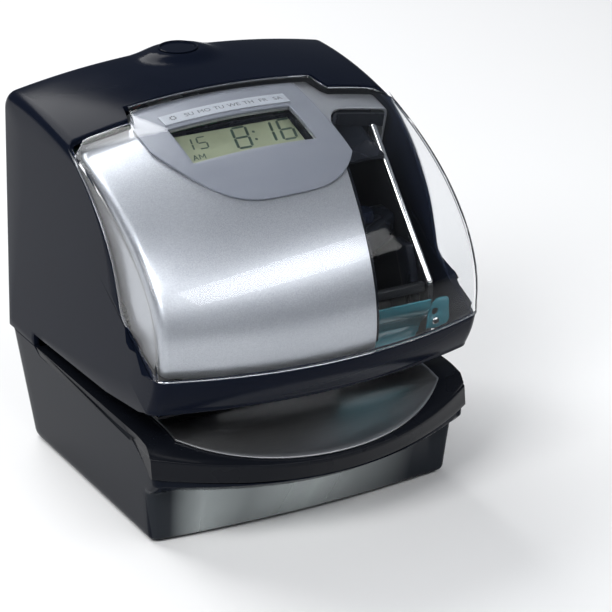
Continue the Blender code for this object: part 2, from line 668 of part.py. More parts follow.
def print_mechanism():
    """Dot matrix head on a carriage that a motor moves along two shafts by a lead screw."""
    left, right = PLATE_X[0] - 2.0, PLATE_X[1] + 2.0
    rod = ((left, SHAFT_R - 0.4), (left + 0.4, SHAFT_R), (right - 0.4, SHAFT_R), (right, SHAFT_R - 0.4))
    for name, (y, z) in zip(("front_guide_shaft", "rear_guide_shaft"), SHAFTS_AT):
        turned(name, (0, y, z), "X", rod, BRIGHT)
    y, z = SCREW_AT
    profile = [(-66.4, 2.0), (-56.8, 2.0)]
    x = -56.4
    while x < 53.0:
        profile += [(x, 2.1), (x + 1.0, 3.0), (x + 6.0, 3.0), (x + 7.0, 2.1)]
        x += 8.0
    profile += [(55.0, 2.0), (59.4, 2.0)]
    turned("lead_screw", (0, y, z), "X", profile, BRIGHT, 14)
    wheel = gear("screw_gear", (GEAR_X, y, z), SCREW_TEETH, 4.0, NYLON)
    cut(wheel, turned("gear_bore", (GEAR_X, y, z), "X", ((-9, 2.3), (9, 2.3)), BLACK))
    py, pz = pinion_centre()
    # One tooth of the gear points at the pinion, so the pinion shows it a gap.
    toward = math.radians(60)
    turn = toward + math.pi + math.pi / PINION_TEETH
    pinion = gear("motor_pinion", (GEAR_X, py, pz), PINION_TEETH, 4.0, BRASS, turn)
    shaft = turned("motor_shaft", (0, py, pz), "X", ((-65.0, 1.5), (-57.6, 1.5)), BRIGHT, 12)
    cut(pinion, shaft, "UNION")
    can = ((-57.2, 14.0), (-56.8, 14.4), (-46.8, 14.4), (-46.4, 14.0))
    turned("stepper_motor", (0, py, pz), "X", can, STEEL, 24)
    carriage = block("print_carriage", (-50, -31.5, 63.5), (-28, 15.5, 80.5), TABLE_BLACK, 0.8)
    running = SHAFT_R + 0.08
    for i, (sy, sz) in enumerate(SHAFTS_AT):
        bore = turned(f"carriage_bore_{i}", (-39, sy, sz), "X", ((-20, running), (20, running)), BLACK)
        cut(carriage, bore)
    nut = block("screw_nut", (-45, -14, 80.9), (-33, -2, 94.0), NYLON, 0.6)
    cut(nut, turned("nut_bore", (-39, y, z), "X", ((-20, 3.3), (20, 3.3)), BLACK))
    head = block("print_head", (-49, -46.0, 64.0), (-29, -31.9, 86.0), STEEL, 0.8)
    for i in range(4):
        level = 70.5 + 3.8 * i
        cut(head, block(f"fin_gap_{i}", (-60, -60, level), (-20, -37.0, level + 1.6), BLACK))
    nose = [(-43.5, 63.6), (-34.5, 63.6), (-35.5, 58.5), (-36.8, 55.2), (-39.2, 55.2), (-41.5, 58.5)]
    prism("head_nose", nose, "X", -44, -34, TABLE_BLACK)

    cartridge = block("ribbon_cartridge", (-56.6, -45, 102), (55.4, -17, 114), TABLE_BLACK, 2.0)
    arm = [(-43, 106), (-32, 106), (-40, 84), (-46.0, 73), (-48.4, 73), (-48.4, 84)]
    for side, x in (("left", -55.6), ("right", 51.6)):
        cut(cartridge, prism(f"ribbon_arm_{side}", arm, "X", x, x + 3.6, TABLE_BLACK), "UNION")
    knob_profile = ((114.4, 3.0), (115.4, 3.0), (115.4, 6.0), (119.4, 5.6), (119.8, 5.0))
    knob = turned("ribbon_knob", (36, -31, 0), "Z", knob_profile, GREY, 24)
    for i in range(6):
        a = 2 * math.pi * i / 6
        x, y = 36 + 6.4 * math.cos(a), -31 + 6.4 * math.sin(a)
        cut(knob, turned(f"knob_flute_{i}", (x, y, 0), "Z", ((112, 1.2), (125, 1.2)), BLACK, 10))


def card_guides():
    """Tinted clear mask that presses a card flat under the well, its bracket, and the card trigger."""
    curve = [(-58.8, 86.6), (-57.6, 82.0), (-55.5, 78.4), (-49.6, 71.9), (-47.9, 66.6)]
    curve += [(-47.4, 61.4), (-46.6, 58.4)]
    rows = [[(x, y, z) for y, z in curve] for x in (22.0, 33.0, 44.0, 54.6)]
    sheet("ribbon_mask", rows, 0.8, TEAL)
    bracket = [(-58.2, 89.0), (-50.0, 92.0), (-49.4, 72.0), (-53.6, 73.6), (-58.2, 78.6)]
    plate = prism("mask_bracket", bracket, "X", 59.0, 60.2, TEAL)
    cut(plate, turned("bracket_hole", (59, -54.6, 83.4), "X", ((-9, 1.6), (9, 1.6)), BLACK, 14))
    turned("mask_clip", (60.5, -54.2, 77.2), "X", ((0, 1.6), (1.6, 1.6), (2.0, 1.2)), BRIGHT, 14)

    turned("trigger_pin", (0, *TRIGGER_AT), "X", ((-9, 1.5), (9, 1.5)), BRIGHT, 14)
    lever = [(61, 69.2), (64.0, 67.2), (64.2, 64.4), (61.0, 62.8), (56.9, 60.6), (52.4, 57.6)]
    lever += [(51.6, 51.2), (50.2, 51.2), (50.6, 58.4), (55.2, 62.2), (58.0, 66.4)]
    trigger = prism("card_trigger", lever, "X", -2.4, 2.4, NYLON, (0, *TRIGGER_AT))
    cut(trigger, turned("trigger_bore", (0, *TRIGGER_AT), "X", ((-9, 1.6), (9, 1.6)), BLACK, 14))
    block("trigger_switch", (-5.5, 60, 74), (5.5, 67.5, 84), RED, 0.5)


clear_scene()
upper_housing()
visor()
face_panel()
display_bezel()
day_strip()
well_liner()
lock()
lower_case()
card_table()
table_plate()
base_fittings()
chassis()
display()
print_mechanism()
card_guides()
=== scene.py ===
"""Looks of a punch time clock, built piece by piece in the order it is put together."""
import math

import bmesh
import bpy
import numpy as np
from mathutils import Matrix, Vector


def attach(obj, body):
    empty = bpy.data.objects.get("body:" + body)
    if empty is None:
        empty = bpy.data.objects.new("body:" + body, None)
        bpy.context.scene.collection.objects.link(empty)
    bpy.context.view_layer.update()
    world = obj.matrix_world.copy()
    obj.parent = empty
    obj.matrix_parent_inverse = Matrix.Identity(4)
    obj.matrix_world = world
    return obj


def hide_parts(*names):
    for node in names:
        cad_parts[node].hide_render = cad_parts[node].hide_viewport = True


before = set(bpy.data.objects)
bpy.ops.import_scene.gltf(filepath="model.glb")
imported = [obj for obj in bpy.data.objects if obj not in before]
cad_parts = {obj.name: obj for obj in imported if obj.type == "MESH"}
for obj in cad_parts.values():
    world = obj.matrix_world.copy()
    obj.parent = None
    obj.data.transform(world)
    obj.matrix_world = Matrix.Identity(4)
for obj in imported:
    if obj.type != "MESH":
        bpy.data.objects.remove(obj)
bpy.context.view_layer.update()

# ---- Base tub ------------------------------------------------------------------------------------
# One deep tub moulded in black ABS. Its sides draw in towards the foot so that it leaves the mould, its
# front is undercut like a boat's bow, and the card table drops into the step round its top.

MM = 0.001  # lengths in this file are millimetres, turned into metres where a mesh is made
FRONT_Y, BACK_Y = -83.0, 83.0
HALF_FRONT, HALF_BACK = 72.8, 75.0
FOOT, PARTING, THROAT_BACK = 1.4, 48.9, 52.8  # heights of the foot and the top edge; the last is a y
UNDERCUT_TOP, NOSE_FLARE = 24.0, 6.6  # height where the undercut face ends, and height of the flare above it
TUB_REACH, DRAFT = 69.8, 4.2  # half width at the front corners, and how far the sides draw in at the foot
FOOT_BACK, BACK_CLIMB = 73.0, 47.9  # back of the foot, as y, and the height over which it runs out to BACK_Y
FRONT_CORNER, REAR_CORNER = 4.0, 10.0
PAINTED_REFLECTION_BACK, PAINTED_REFLECTION_TOP = -0.0475, 0.0262  # metres: the painted reflection lies before and below these


class Wire:
    """A socket of a material being made. Sums on it add Math nodes, and node() adds any other node."""

    def __init__(self, tree, socket=None):
        self.tree, self.socket = tree, socket

    def node(self, kind, settings=(), sockets=(), out=0):
        """Adds a node: its settings first, then each socket's value, or a link where the value is a Wire."""
        made = self.tree.nodes.new("ShaderNode" + kind)
        for name, value in dict(settings).items():
            if name == "stops":
                stops = made.color_ramp.elements
                stops.remove(stops[1])
                stops[0].position, stops[0].color = value[0]
                for place, colour in value[1:]:
                    stops.new(place).color = colour
            else:
                setattr(made, name, value)
        for name, value in dict(sockets).items():
            if isinstance(value, Wire):
                self.tree.links.new(value.socket, made.inputs[name])
            else:
                made.inputs[name].default_value = value
        return Wire(self.tree, made.outputs[out] if made.outputs else None)

    def maths(self, operation, *values):
        """A Math node on values or wires."""
        return self.node("Math", {"operation": operation}, dict(enumerate(values)))

    def __add__(self, other):
        return self.maths("ADD", self, other)

    def __sub__(self, other):
        return self.maths("SUBTRACT", self, other)

    def __rsub__(self, other):
        return self.maths("SUBTRACT", other, self)

    def __mul__(self, other):
        return self.maths("MULTIPLY", self, other)

    def __gt__(self, other):
        return self.maths("GREATER_THAN", self, other)

    def __lt__(self, other):
        return self.maths("LESS_THAN", self, other)

    __radd__, __rmul__ = __add__, __mul__

    def place(self, stretch=(1, 1, 1)):
        """Where a point is on the piece, in metres, stretched along each axis."""
        here = self.node("TexCoord", out="Object")
        return self.node("Mapping", {}, {"Vector": here, "Scale": stretch})

    def noise(self, per_metre, detail=2.0, stretch=(1, 1, 1)):
        """Cloudy grain with so many lumps to the metre, from 0 to 1."""
        sizes = {"Vector": self.place(stretch), "Scale": per_metre, "Detail": detail}
        return self.node("TexNoise", {}, sizes, out="Fac")

    def blend(self, share, one, two):
        """Colour one where the share is 0 and colour two where it is 1."""
        return self.node("Mix", {"data_type": "RGBA"}, {0: share, 6: one, 7: two}, out=2)

    def bump(self, height, depth, strength=1.0):
        """Surface normal tilted by a height from 0 to 1 that stands for a depth in metres."""
        return self.node("Bump", {}, {"Height": height, "Distance": depth, "Strength": strength})


def finish(name, recipe):
    """A material whose recipe gives its Principled shader's sockets, from an empty node tree."""
    made = bpy.data.materials.new(name)
    made.use_nodes = True
    made.node_tree.nodes.clear()
    wire = Wire(made.node_tree)
    sockets = recipe(wire)
    shader = sockets if isinstance(sockets, Wire) else wire.node("BsdfPrincipled", {}, sockets)
    wire.node("OutputMaterial", {}, {"Surface": shader})
    return made


def rgb(red, green, blue):
    """A colour socket's four numbers, opaque."""
    return (red, green, blue, 1.0)


def side_half(y):
    """Half width of the casing: it grows evenly from the front to the back."""
    return HALF_FRONT + (HALF_BACK - HALF_FRONT) * (y - FRONT_Y) / (BACK_Y - FRONT_Y)


def placed(name, data):
    """An object that holds a mesh, lamp or camera, linked to the scene."""
    made = bpy.data.objects.new(name, data)
    bpy.context.scene.collection.objects.link(made)
    return made


def rounded(made, width, segments, degrees):
    """Rounds the edges of a piece that are sharper than the given degrees."""
    rounding = made.modifiers.new("edge", "BEVEL")
    rounding.width, rounding.segments, rounding.limit_method = width * MM, segments, "ANGLE"
    rounding.angle_limit = math.radians(degrees)


def skin(name, patches, inside, material, wall=0.0, edge=0.0, sharp=35.0):
    """A piece made of grids of points. Neighbours in a grid are joined by quads, grids that meet are
    merged, and the faces look away from the point inside. A wall thickens the skin inwards, and edge rounds
    its rims."""
    points, quads, start = [], [], 0
    for patch in patches:
        rows, columns = patch.shape[:2]
        index = np.arange(rows * columns).reshape(rows, columns) + start
        corners = (index[:-1, :-1], index[:-1, 1:], index[1:, 1:], index[1:, :-1])
        quads.append(np.stack(corners, -1).reshape(-1, 4))
        points.append(patch.reshape(-1, 3))
        start += rows * columns
    mesh = bpy.data.meshes.new(name)
    mesh.from_pydata((np.concatenate(points) * MM).tolist(), [], np.concatenate(quads).tolist())
    bm = bmesh.new()
    bm.from_mesh(mesh)
    bmesh.ops.remove_doubles(bm, verts=bm.verts, dist=2e-6)
    bmesh.ops.dissolve_degenerate(bm, edges=bm.edges, dist=1e-6)
    bmesh.ops.recalc_face_normals(bm, faces=bm.faces)
    centre = Vector(inside) * MM
    if sum((f.calc_center_median() - centre).dot(f.normal) * f.calc_area() for f in bm.faces) < 0:
        bmesh.ops.reverse_faces(bm, faces=bm.faces)
    bm.to_mesh(mesh)
    bm.free()
    mesh.materials.append(material)
    made = placed(name, mesh)
    if wall:
        thick = made.modifiers.new("wall", "SOLIDIFY")
        thick.thickness, thick.offset = wall * MM, -1.0
    if edge:
        rounded(made, edge, 2, 50)
    return settle(made, sharp)


def settle(made, sharp=35.0):
    """Applies a piece's modifiers and shades it smooth but for edges sharper than the given degrees."""
    graph = bpy.context.evaluated_depsgraph_get()
    mesh = bpy.data.meshes.new_from_object(made.evaluated_get(graph))
    made.modifiers.clear()
    made.data = mesh
    mesh.shade_smooth()
    mesh.set_sharp_from_angle(angle=math.radians(sharp))
    return made


def fitted(piece, body, slot, *nodes):
    """The piece rides on a body and stands for CAD nodes, which it hides. The slot is not used."""
    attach(piece, body)
    if nodes:
        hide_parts(*nodes)
    return piece


def moulded_black(wire):
    """Glossy black ABS: a faint orange peel, and gloss that varies in soft patches where hands have been."""
    haze = wire.noise(45.0, 3.0)
    peel = wire.noise(420.0, 1.0)
    return {
        "Base Color": wire.blend(haze, rgb(0.0040, 0.0058, 0.0120), rgb(0.0058, 0.0080, 0.0160)),
        "Roughness": 0.13 + 0.10 * haze,
        "Specular IOR Level": 0.03,
        "Normal": wire.bump(peel, 0.00003, 0.35),
    }


def satin_black(wire):
    """Black ABS from a spark-eroded mould: a fine even grain that dulls the gloss a little."""
    grain = wire.noise(2600.0, 1.0)
    return {
        "Base Color": rgb(0.005, 0.006, 0.009),
        "Roughness": 0.22 + 0.12 * wire.noise(60.0),
        "Specular IOR Level": 0.12,
        "Normal": wire.bump(grain, 0.00003, 0.5),
    }


def painted_reflection_front(wire):
    """The tub's black, with a painted reflection on the front face below the nose: a metallic patch that
    stands in for the floor mirrored there. It is strongest about the middle, with a duller gap left of it,
    and dies away towards both corners."""
    here = wire.place()
    x, y, z = (wire.node("SeparateXYZ", {}, {"Vector": here}, out=axis) for axis in range(3))
    along = 0.5 + 6.5 * x
    reflection_strength = wire.node("ValToRGB", {"stops": [
        (0.0, rgb(0.02, 0.02, 0.02)), (0.10, rgb(0.05, 0.05, 0.05)), (0.18, rgb(0.75, 0.75, 0.75)),
        (0.30, rgb(0.45, 0.45, 0.45)), (0.48, rgb(0.9, 0.9, 0.9)), (0.62, rgb(0.45, 0.45, 0.45)),
        (0.82, rgb(0.03, 0.03, 0.03)),
    ]}, {"Fac": along})
    # face is where the painted reflection lies: the front face below the nose, shaped by the ramp
    face = (y < PAINTED_REFLECTION_BACK) * (z < PAINTED_REFLECTION_TOP) * reflection_strength
    peel = wire.noise(420.0, 1.0)
    return {
        "Base Color": wire.blend(face, rgb(0.0055, 0.0075, 0.0130), rgb(0.46, 0.50, 0.50)),
        "Metallic": face,
        "Roughness": 0.16 + 0.06 * wire.noise(45.0, 3.0),
        "Specular IOR Level": 0.04,
        "Normal": wire.bump(peel, 0.00003, 0.35),
    }


case_black = finish("case_black", moulded_black)
table_black = finish("table_black", satin_black)


def nose_edges(w):
    """The table nose's upper and lower edge as ((y, z), (y, z)); w is the square of the place across, 0 to
    1."""
    return (FRONT_Y + 27.0 * w, 40.0 + 3.4 * w), (-80.3 + 23.2 * w, 30.9 + 3.2 * w)


def front_line(level, x):
    """Front of the tub in plan: a nearly straight foot that leans out to a bow, then flares to the nose."""
    bow = np.maximum(0, 1 - (x / 60) ** 2)
    foot, face, nose = -53 + 3.5 * (x / 60) ** 2, -51 - 18.5 * bow, -56 - 24.2 * (1 - (x / 73) ** 2)
    low = foot + (face - foot) * (level - FOOT) / (UNDERCUT_TOP - FOOT)
    flare = np.clip((level - UNDERCUT_TOP) / NOSE_FLARE, 0, 1)
    return np.where(level <= UNDERCUT_TOP, low, face + (nose - face) * flare**0.85)


def tub_ring(place, level):
    """Plan of the tub at a level: place 0..1 runs over the front, 1..2 back along the right side to the rear
    corner and 2..3 to the middle of the back. Both arguments are arrays of one shape."""
    draft = -DRAFT * (PARTING - level) / PARTING
    back = FOOT_BACK + (BACK_Y - FOOT_BACK) * np.clip((level - FOOT) / BACK_CLIMB, 0, 1)
    reach = TUB_REACH + draft
    front = front_line(level, reach * np.clip(place, 0, 1))
    corner = front_line(level, reach)
    turn = np.clip((place - 1) * 5, 0, 1) * np.pi / 2
    side = np.clip((place - 1.2) / 0.8, 0, 1)
    y_front = corner + FRONT_CORNER * (1 - np.cos(turn))
    y = np.where(place <= 1, front, y_front + (back - REAR_CORNER - y_front) * side)
    wide = side_half(y) + draft
    x = np.where(place <= 1, reach * place, reach + (wide - reach) * np.sin(turn))
    sweep = np.clip((place - 2) * 2, 0, 1) * np.pi / 2
    across = np.clip((place - 2.5) * 2, 0, 1)
    x = np.where(place > 2, (wide - REAR_CORNER + REAR_CORNER * np.cos(sweep)) * (1 - across), x)
    y = np.where(place > 2, back - REAR_CORNER + REAR_CORNER * np.sin(sweep), y)
    return x, y


def seat_level(x, y):
    """Top of the tub: under the table a level step that drops to the nose, and the parting line behind it."""
    w = np.minimum(np.abs(x) / 73, 1) ** 2
    _, (foot_y, foot_z) = nose_edges(w)
    slope = 46.0 + (foot_z - 0.6 - 46.0) * np.clip((-38.5 - y) / (-38.5 - foot_y), 0, 1)
    return np.where(y > THROAT_BACK, PARTING, slope)


def mirrored(patch):
    """A grid and its twin on the other side of the middle."""
    return [patch, patch * np.array([-1.0, 1.0, 1.0])]


def tub_skin():
    """Outer skin: at each place round the tub the levels run from the foot to the seat, closest near both
    ends, and the last two turn in over the seat's edge."""
    places = np.concatenate([
        np.linspace(0, 1, 40), np.linspace(1, 1.2, 10)[1:], np.linspace(1.2, 1.83, 30)[1:],
        [1.8345, 1.8395], np.linspace(1.85, 2, 6), np.linspace(2, 2.5, 12)[1:], np.linspace(2.5, 3, 20)[1:],
    ])
    rise = np.concatenate([[0, 0.006, 0.02, 0.045], np.linspace(0.08, 0.97, 36), [0.985, 0.995, 1]])
    place, share = np.meshgrid(places, rise)
    level = np.full(place.shape, 40.0)
    for _ in range(6):
        x, y = tub_ring(place, level)
        level = FOOT + share * (seat_level(x, y) - FOOT)
    x, y = tub_ring(place, level)
    tuck = 1.2 * (1 - np.sqrt(np.clip(1 - (1 - np.clip(share / 0.045, 0, 1)) ** 2, 0, 1)))
    shrink = 1 - tuck / np.hypot(x, y).clip(30)
    return mirrored(np.stack([x * shrink, y * shrink, level], -1))


CASE_WALL = 2.4
# The tub's material carries a painted reflection on its front face.
tub_black_painted_reflection = finish("tub_black_painted_reflection", painted_reflection_front)
tub = skin("base_tub", tub_skin(), (0, 0, 25), tub_black_painted_reflection, wall=CASE_WALL, edge=0.5)
fitted(tub, "base", "case_black", "lower_case")

# ---- Card table ----------------------------------------------------------------------------------
# A second black moulding closes the tub. A card slides on its flat top under the cover, and its drooping
# nose, lens-shaped in plan, holds the card's near end.

TABLE_Z, TABLE_FOOT = 48.8, 46.3
LEVEL_END = -42.0  # behind this y the table is level


def table_height(w, y):
    """Height of the table at y: level at the back, then a slow curve down to the bend and a steeper one to
    the nose's upper edge."""
    (top_y, top_z), _ = nose_edges(w)
    bend_y, bend_z = -62.0 + 9 * w, TABLE_Z - 2.6 + 1.2 * w
    slow = np.clip((LEVEL_END - y) / (LEVEL_END - bend_y), 0, 1)
    steep = np.clip((bend_y - y) / (bend_y - top_y), 0, 1.1)
    return TABLE_Z - (TABLE_Z - bend_z) * slow**1.7 - (bend_z - top_z) * steep**1.15


def table_profile(w):
    """Side outline at each place across: along the top, down the slope, round the nose's two edges and back
    underneath. Shape (points, places, 2)."""
    (top_y, top_z), (foot_y, foot_z) = nose_edges(w)
    back = THROAT_BACK - 0.3
    level = [(back, TABLE_FOOT), (back, TABLE_Z), (-30.0, TABLE_Z)]
    rows = [(np.full_like(w, y), np.full_like(w, z)) for y, z in level]
    for share in np.linspace(0, 0.96, 16):
        y = LEVEL_END + (top_y - LEVEL_END) * share
        rows.append((y, table_height(w, y)))
    for turn in np.radians([0, 30, 60, 90]):
        rows.append((top_y + 0.5 - 0.9 * np.sin(turn), top_z - 0.2 - 1.0 * (1 - np.cos(turn))))
    for share in (0.2, 0.5, 0.8):
        y = top_y - 0.4 + (foot_y - top_y + 0.1) * share
        rows.append((y, top_z - 1.2 + (foot_z - top_z + 2.2) * share))
    for turn in np.radians([0, 45, 90]):
        rows.append((foot_y - 0.3 + 1.0 * (1 - np.cos(turn)), foot_z + 1.0 - 1.0 * np.sin(turn)))
    rows += [(np.full_like(w, y), np.full_like(w, TABLE_FOOT)) for y in (-40.0, -39.0)]
    return np.array(rows).transpose(0, 2, 1)


def table_skin():
    """The profile swept across the width; the sides follow the casing's splay."""
    places = np.sin(np.linspace(-np.pi / 2, np.pi / 2, 61))
    w = (72.4 * places / 73) ** 2
    outline = table_profile(w)
    outline = np.concatenate([outline, outline[:1]])
    x = places * 0.995 * side_half(outline[..., 0])
    surface = np.concatenate([x[..., None], outline], -1)
    middle = np.repeat(outline.mean(0, keepdims=True), len(outline), 0)
    caps = []
    for end in (0, -1):
        rim = surface[:, end]
        heart = np.stack([rim[:, 0], middle[:, end, 0], np.full(len(rim), 45.0)], -1)
        caps.append(np.stack([rim, heart], 1))
    return [surface, *caps]


table = skin("table_top", table_skin(), (0, 0, 44), table_black, sharp=40)
fitted(table, "base", "table_black", "card_table")

# ---- Wear plate and platen -----------------------------------------------------------------------
# Cards wear plastic away, so a sheet of bright steel covers the table. It is cut round in front and brushed
# from side to side. Under the print line it has a slot for a hard rubber bar, the platen that the needles
# strike against.

PRINT_LINE, SLOT_REACH, SLOT_HALF = -38.0, 5.6, 53.6
PLATE_FRONT, PLATE_ROUND, PLATE_BACK, PLATE_HALF = -82.3, 82.0, 49.0, 61.0


def brushed_steel(wire):
    """Steel brushed along X: streaks sixty times longer than they are wide, in colour, gloss and relief."""
    streaks = wire.noise(60.0, 3.0, (1.0, 60.0, 60.0))
    return {
        "Base Color": wire.blend(streaks, rgb(0.62, 0.63, 0.65), rgb(0.76, 0.77, 0.78)),
        "Metallic": 1.0,
        "Roughness": 0.26 + 0.14 * streaks,
        "Normal": wire.bump(streaks, 0.00002, 0.4),
    }


def worn_rubber(wire):
    """Hard rubber: matt, with a fine bloom."""
    bloom = wire.noise(700.0, 3.0)
    return {
        "Base Color": wire.blend(bloom, rgb(0.010, 0.010, 0.010), rgb(0.024, 0.024, 0.025)),
        "Roughness": 0.72 + 0.15 * bloom,
        "Normal": wire.bump(bloom, 0.00005, 0.5),
    }


def plate_grid(xs, front, back, steps):
    """The plate's top between two lines across the table, laid 1.2 above it."""
    share, x = np.meshgrid(np.linspace(0, 1, steps), xs, indexing="ij")
    y = front(x) + (back(x) - front(x)) * share
    return np.stack([x, y, table_height((x / 73) ** 2, y) + 1.2], -1)


def plate_skin():
    """Two sheets before and behind the slot, joined by a strip at each end of it."""
    slot_front, slot_back = PRINT_LINE - SLOT_REACH, PRINT_LINE + SLOT_REACH
    beside = [np.linspace(-PLATE_HALF, -SLOT_HALF, 6), np.linspace(SLOT_HALF, PLATE_HALF, 6)]
    xs = np.concatenate([beside[0], np.linspace(-SLOT_HALF, SLOT_HALF, 49)[1:-1], beside[1]])

    def arc(x):
        """The round front edge, which stays clear of the slot."""
        return np.minimum(PLATE_FRONT + PLATE_ROUND - np.sqrt(PLATE_ROUND**2 - x * x), slot_front - 6)

    def at(y):
        """A straight edge across the table."""
        return lambda x: np.full_like(x, y)

    patches = [plate_grid(xs, arc, at(slot_front), 16), plate_grid(xs, at(slot_back), at(PLATE_BACK), 8)]
    return patches + [plate_grid(part, at(slot_front), at(slot_back), 3) for part in beside]


brushed = finish("brushed_steel", brushed_steel)
plate = skin("wear_plate", plate_skin(), (0, 0, 0), brushed, wall=0.9, edge=0.15)
fitted(plate, "base", "silver_paint", "table_plate")
rubber = finish("rubber", worn_rubber)


def repaint(material, slot, *nodes):
    """Gives CAD nodes a material in place of their own."""
    for name in nodes:
        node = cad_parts[name]
        node.data.materials.clear()
        node.data.materials.append(material)


FEET = [f"foot_{end}_{side}" for end in ("front", "rear") for side in ("left", "right")]
repaint(rubber, "rubber", "platen", *FEET)

# ---- Cover ---------------------------------------------------------------------------------------
# The lift-off cover is one glossy black ABS moulding: cheeks, back, rounded top with a swelling for the
# lock, and the lip in front. The visor closes its open face, whose edge sweeps down both cheeks.

HALF = 73.9  # half width of the face
SIDE_ROUND, REAR_ROUND = 4.0, 9.0
ROUND_Y, ROUND_Z = 68.2, 149.0  # centre of the rear round at the cheeks
RIM, LIP_FOOT = 79.3, 63.6
FACE_LONG, FACE_HIGH, FACE_Y, FACE_Z = 130.7, 68.0, 64.2, 90.0  # half axes and centre of the face's ellipse
CHEEK = ((-56.6, 80.4), (-50.0, 84.7), (-39.9, 91.3), (-33.2, 97.0), (-31.0, 103.5), (-26.1, 116.2),
         (-14.5, 131.8), (0.9, 144.2), (4.5, 146.5), (12.8, 152.0), (14.2, 153.6))
TAB_HALF, TAB_STEP, TAB_RISE = 44.6, 3.4, 10.2
LOCK_X, LOCK_Y, BLEND = 0.0, 62.0, 0.9
PLATEAU = ((0, 168.3), (9.0, 168.2), (10.6, 167.6), (12.5, 166.6), (16, 164.2), (20, 160), (40, 120))


def smooth(share):
    """0 below 0, 1 above 1 and an even S between."""
    share = np.clip(share, 0, 1)
    return share * share * (3 - 2 * share)


def through(points, count):
    """Evenly spaced points on a smooth line through the given ones: cubic pieces, each with the slopes that
    the neighbouring points give at its ends."""
    given = np.array(points, float)
    run = np.concatenate([[0], np.cumsum(np.hypot(*np.diff(given, axis=0).T))])
    slope = np.gradient(given, run, axis=0)
    want = np.linspace(0, run[-1], count)
    i = np.clip(np.searchsorted(run, want, "right") - 1, 0, len(given) - 2)
    gap = (run[i + 1] - run[i])[:, None]
    u = (want - run[i])[:, None] / gap
    ends = (1 + 2 * u) * (1 - u) ** 2 * given[i] + u * u * (3 - 2 * u) * given[i + 1]
    return ends + gap * (u * (1 - u) ** 2 * slope[i] - u * u * (1 - u) * slope[i + 1])


def brow(angle, t, inset):
    """Point of the face, (y, z), at an angle up from the front and a place t across, -1 to 1: a quarter
    ellipse swollen towards the middle of the width, then moved in square to itself."""
    a = np.radians(angle)
    out_y, out_z = -np.cos(a) / FACE_LONG, np.sin(a) / FACE_HIGH
    length = np.hypot(out_y, out_z)
    rise = ((15.5 - 7.5 * np.sin(a) ** 2) * (1 - t * t) - inset) / length
    return FACE_Y - FACE_LONG * np.cos(a) + out_y * rise, FACE_Z + FACE_HIGH * np.sin(a) + out_z * rise


def columns(radius, steps, flats):
    """Places across the width as (t, drop): a quarter round at each side and the given places between."""
    turn = np.linspace(np.pi / 2, 0, steps)
    t = (HALF - radius + radius * np.sin(turn)) / HALF
    drop = radius * (1 - np.cos(turn))
    inner = flats[(np.abs(flats) < HALF - radius - 0.2)] / HALF
    return np.concatenate([-t, inner, t[::-1]]), np.concatenate([drop, 0 * inner, drop[::-1]])


def face_line(x, z, step=TAB_RISE):
    """Where the open face ends, as y: down the cheek's edge by height, with the tab reaching further back."""
    cheek = np.array(CHEEK)
    return np.interp(z, cheek[:, 1], cheek[:, 0]) + step * smooth((TAB_HALF - np.abs(x)) / TAB_STEP + 0.5)


def lock_swelling(x, y, z):
    """Lifts the top to a round plateau about the lock with long sloping flanks. Points of the back wall below
    it are drawn up with it, less and less downwards."""
    away = np.hypot((x - LOCK_X) / 1.25, y - LOCK_Y)
    height = np.interp(away, *np.array(PLATEAU).T)
    lifted = 150 + BLEND * np.log(np.exp((z - 150) / BLEND) + np.exp((height - 150) / BLEND))
    return z + (lifted - z) * smooth((z - 138) / 17)


def cover_top(rows_back, rows_face):
    """Back, rear round and top: rows run up the back, over a quarter round of 9 and down the face to its
    edge."""
    spans = ((-69.5, 69.5, 53), (-47, -42, 12), (42, 47, 12), (-27, 27, 31))
    flats = np.concatenate([np.linspace(*span) for span in spans])
    t, drop = columns(SIDE_ROUND, 7, np.unique(flats.round(2)))
    lift = 8.0 * (1 - t * t)
    climb = np.linspace(0, 1, rows_back - 9)[:-1, None]
    foot, radius = PARTING + 0.4, REAR_ROUND - drop
    back_y = BACK_Y - drop - (BACK_Y - ROUND_Y - REAR_ROUND) * climb
    back_z = foot + (ROUND_Z + lift - foot) * climb
    turn = np.linspace(0, np.pi / 2, 10)[:, None]
    round_y, round_z = ROUND_Y + radius * np.cos(turn), ROUND_Z + lift + radius * np.sin(turn)
    angles = np.linspace(90, 55, 400)[:, None]
    y, z = brow(angles, t, drop)
    past = y - face_line(t * HALF, z)
    last = np.array([np.interp(0, -past[:, i], angles[:, 0]) for i in range(len(t))])
    face_y, face_z = brow(90 + (last - 90) * np.linspace(0, 1, rows_face + 1)[1:, None], t, drop)
    y, z = np.concatenate([back_y, round_y, face_y]), np.concatenate([back_z, round_z, face_z])
    x = t * side_half(y)
    return np.stack([x, y, lock_swelling(x, y, z)], -1)


def lip():
    """Front lip: rows run down a faintly bulging face and round its foot, columns round both front
    corners."""
    t, drop = columns(SIDE_ROUND, 7, np.linspace(-69, 69, 61))
    k = 1 - t * t
    down = np.linspace(0, 1, 12)[:, None]
    top_y, low_y = -66.0 - 14.3 * k, -58.6 - 12.5 * k
    y = top_y * (1 - down) + low_y * down + drop - 0.9 * np.sin(np.pi * down)
    z = RIM + (LIP_FOOT - RIM) * down + 0 * y
    turn = np.radians([22.5, 45, 67.5, 90])[:, None]
    foot_y = low_y + drop + 1.6 * (1 - np.cos(turn))
    y, z = np.concatenate([y, foot_y]), np.concatenate([z, LIP_FOOT - 1.6 * np.sin(turn) + 0 * foot_y])
    return np.stack([t * side_half(y), y, z], -1)


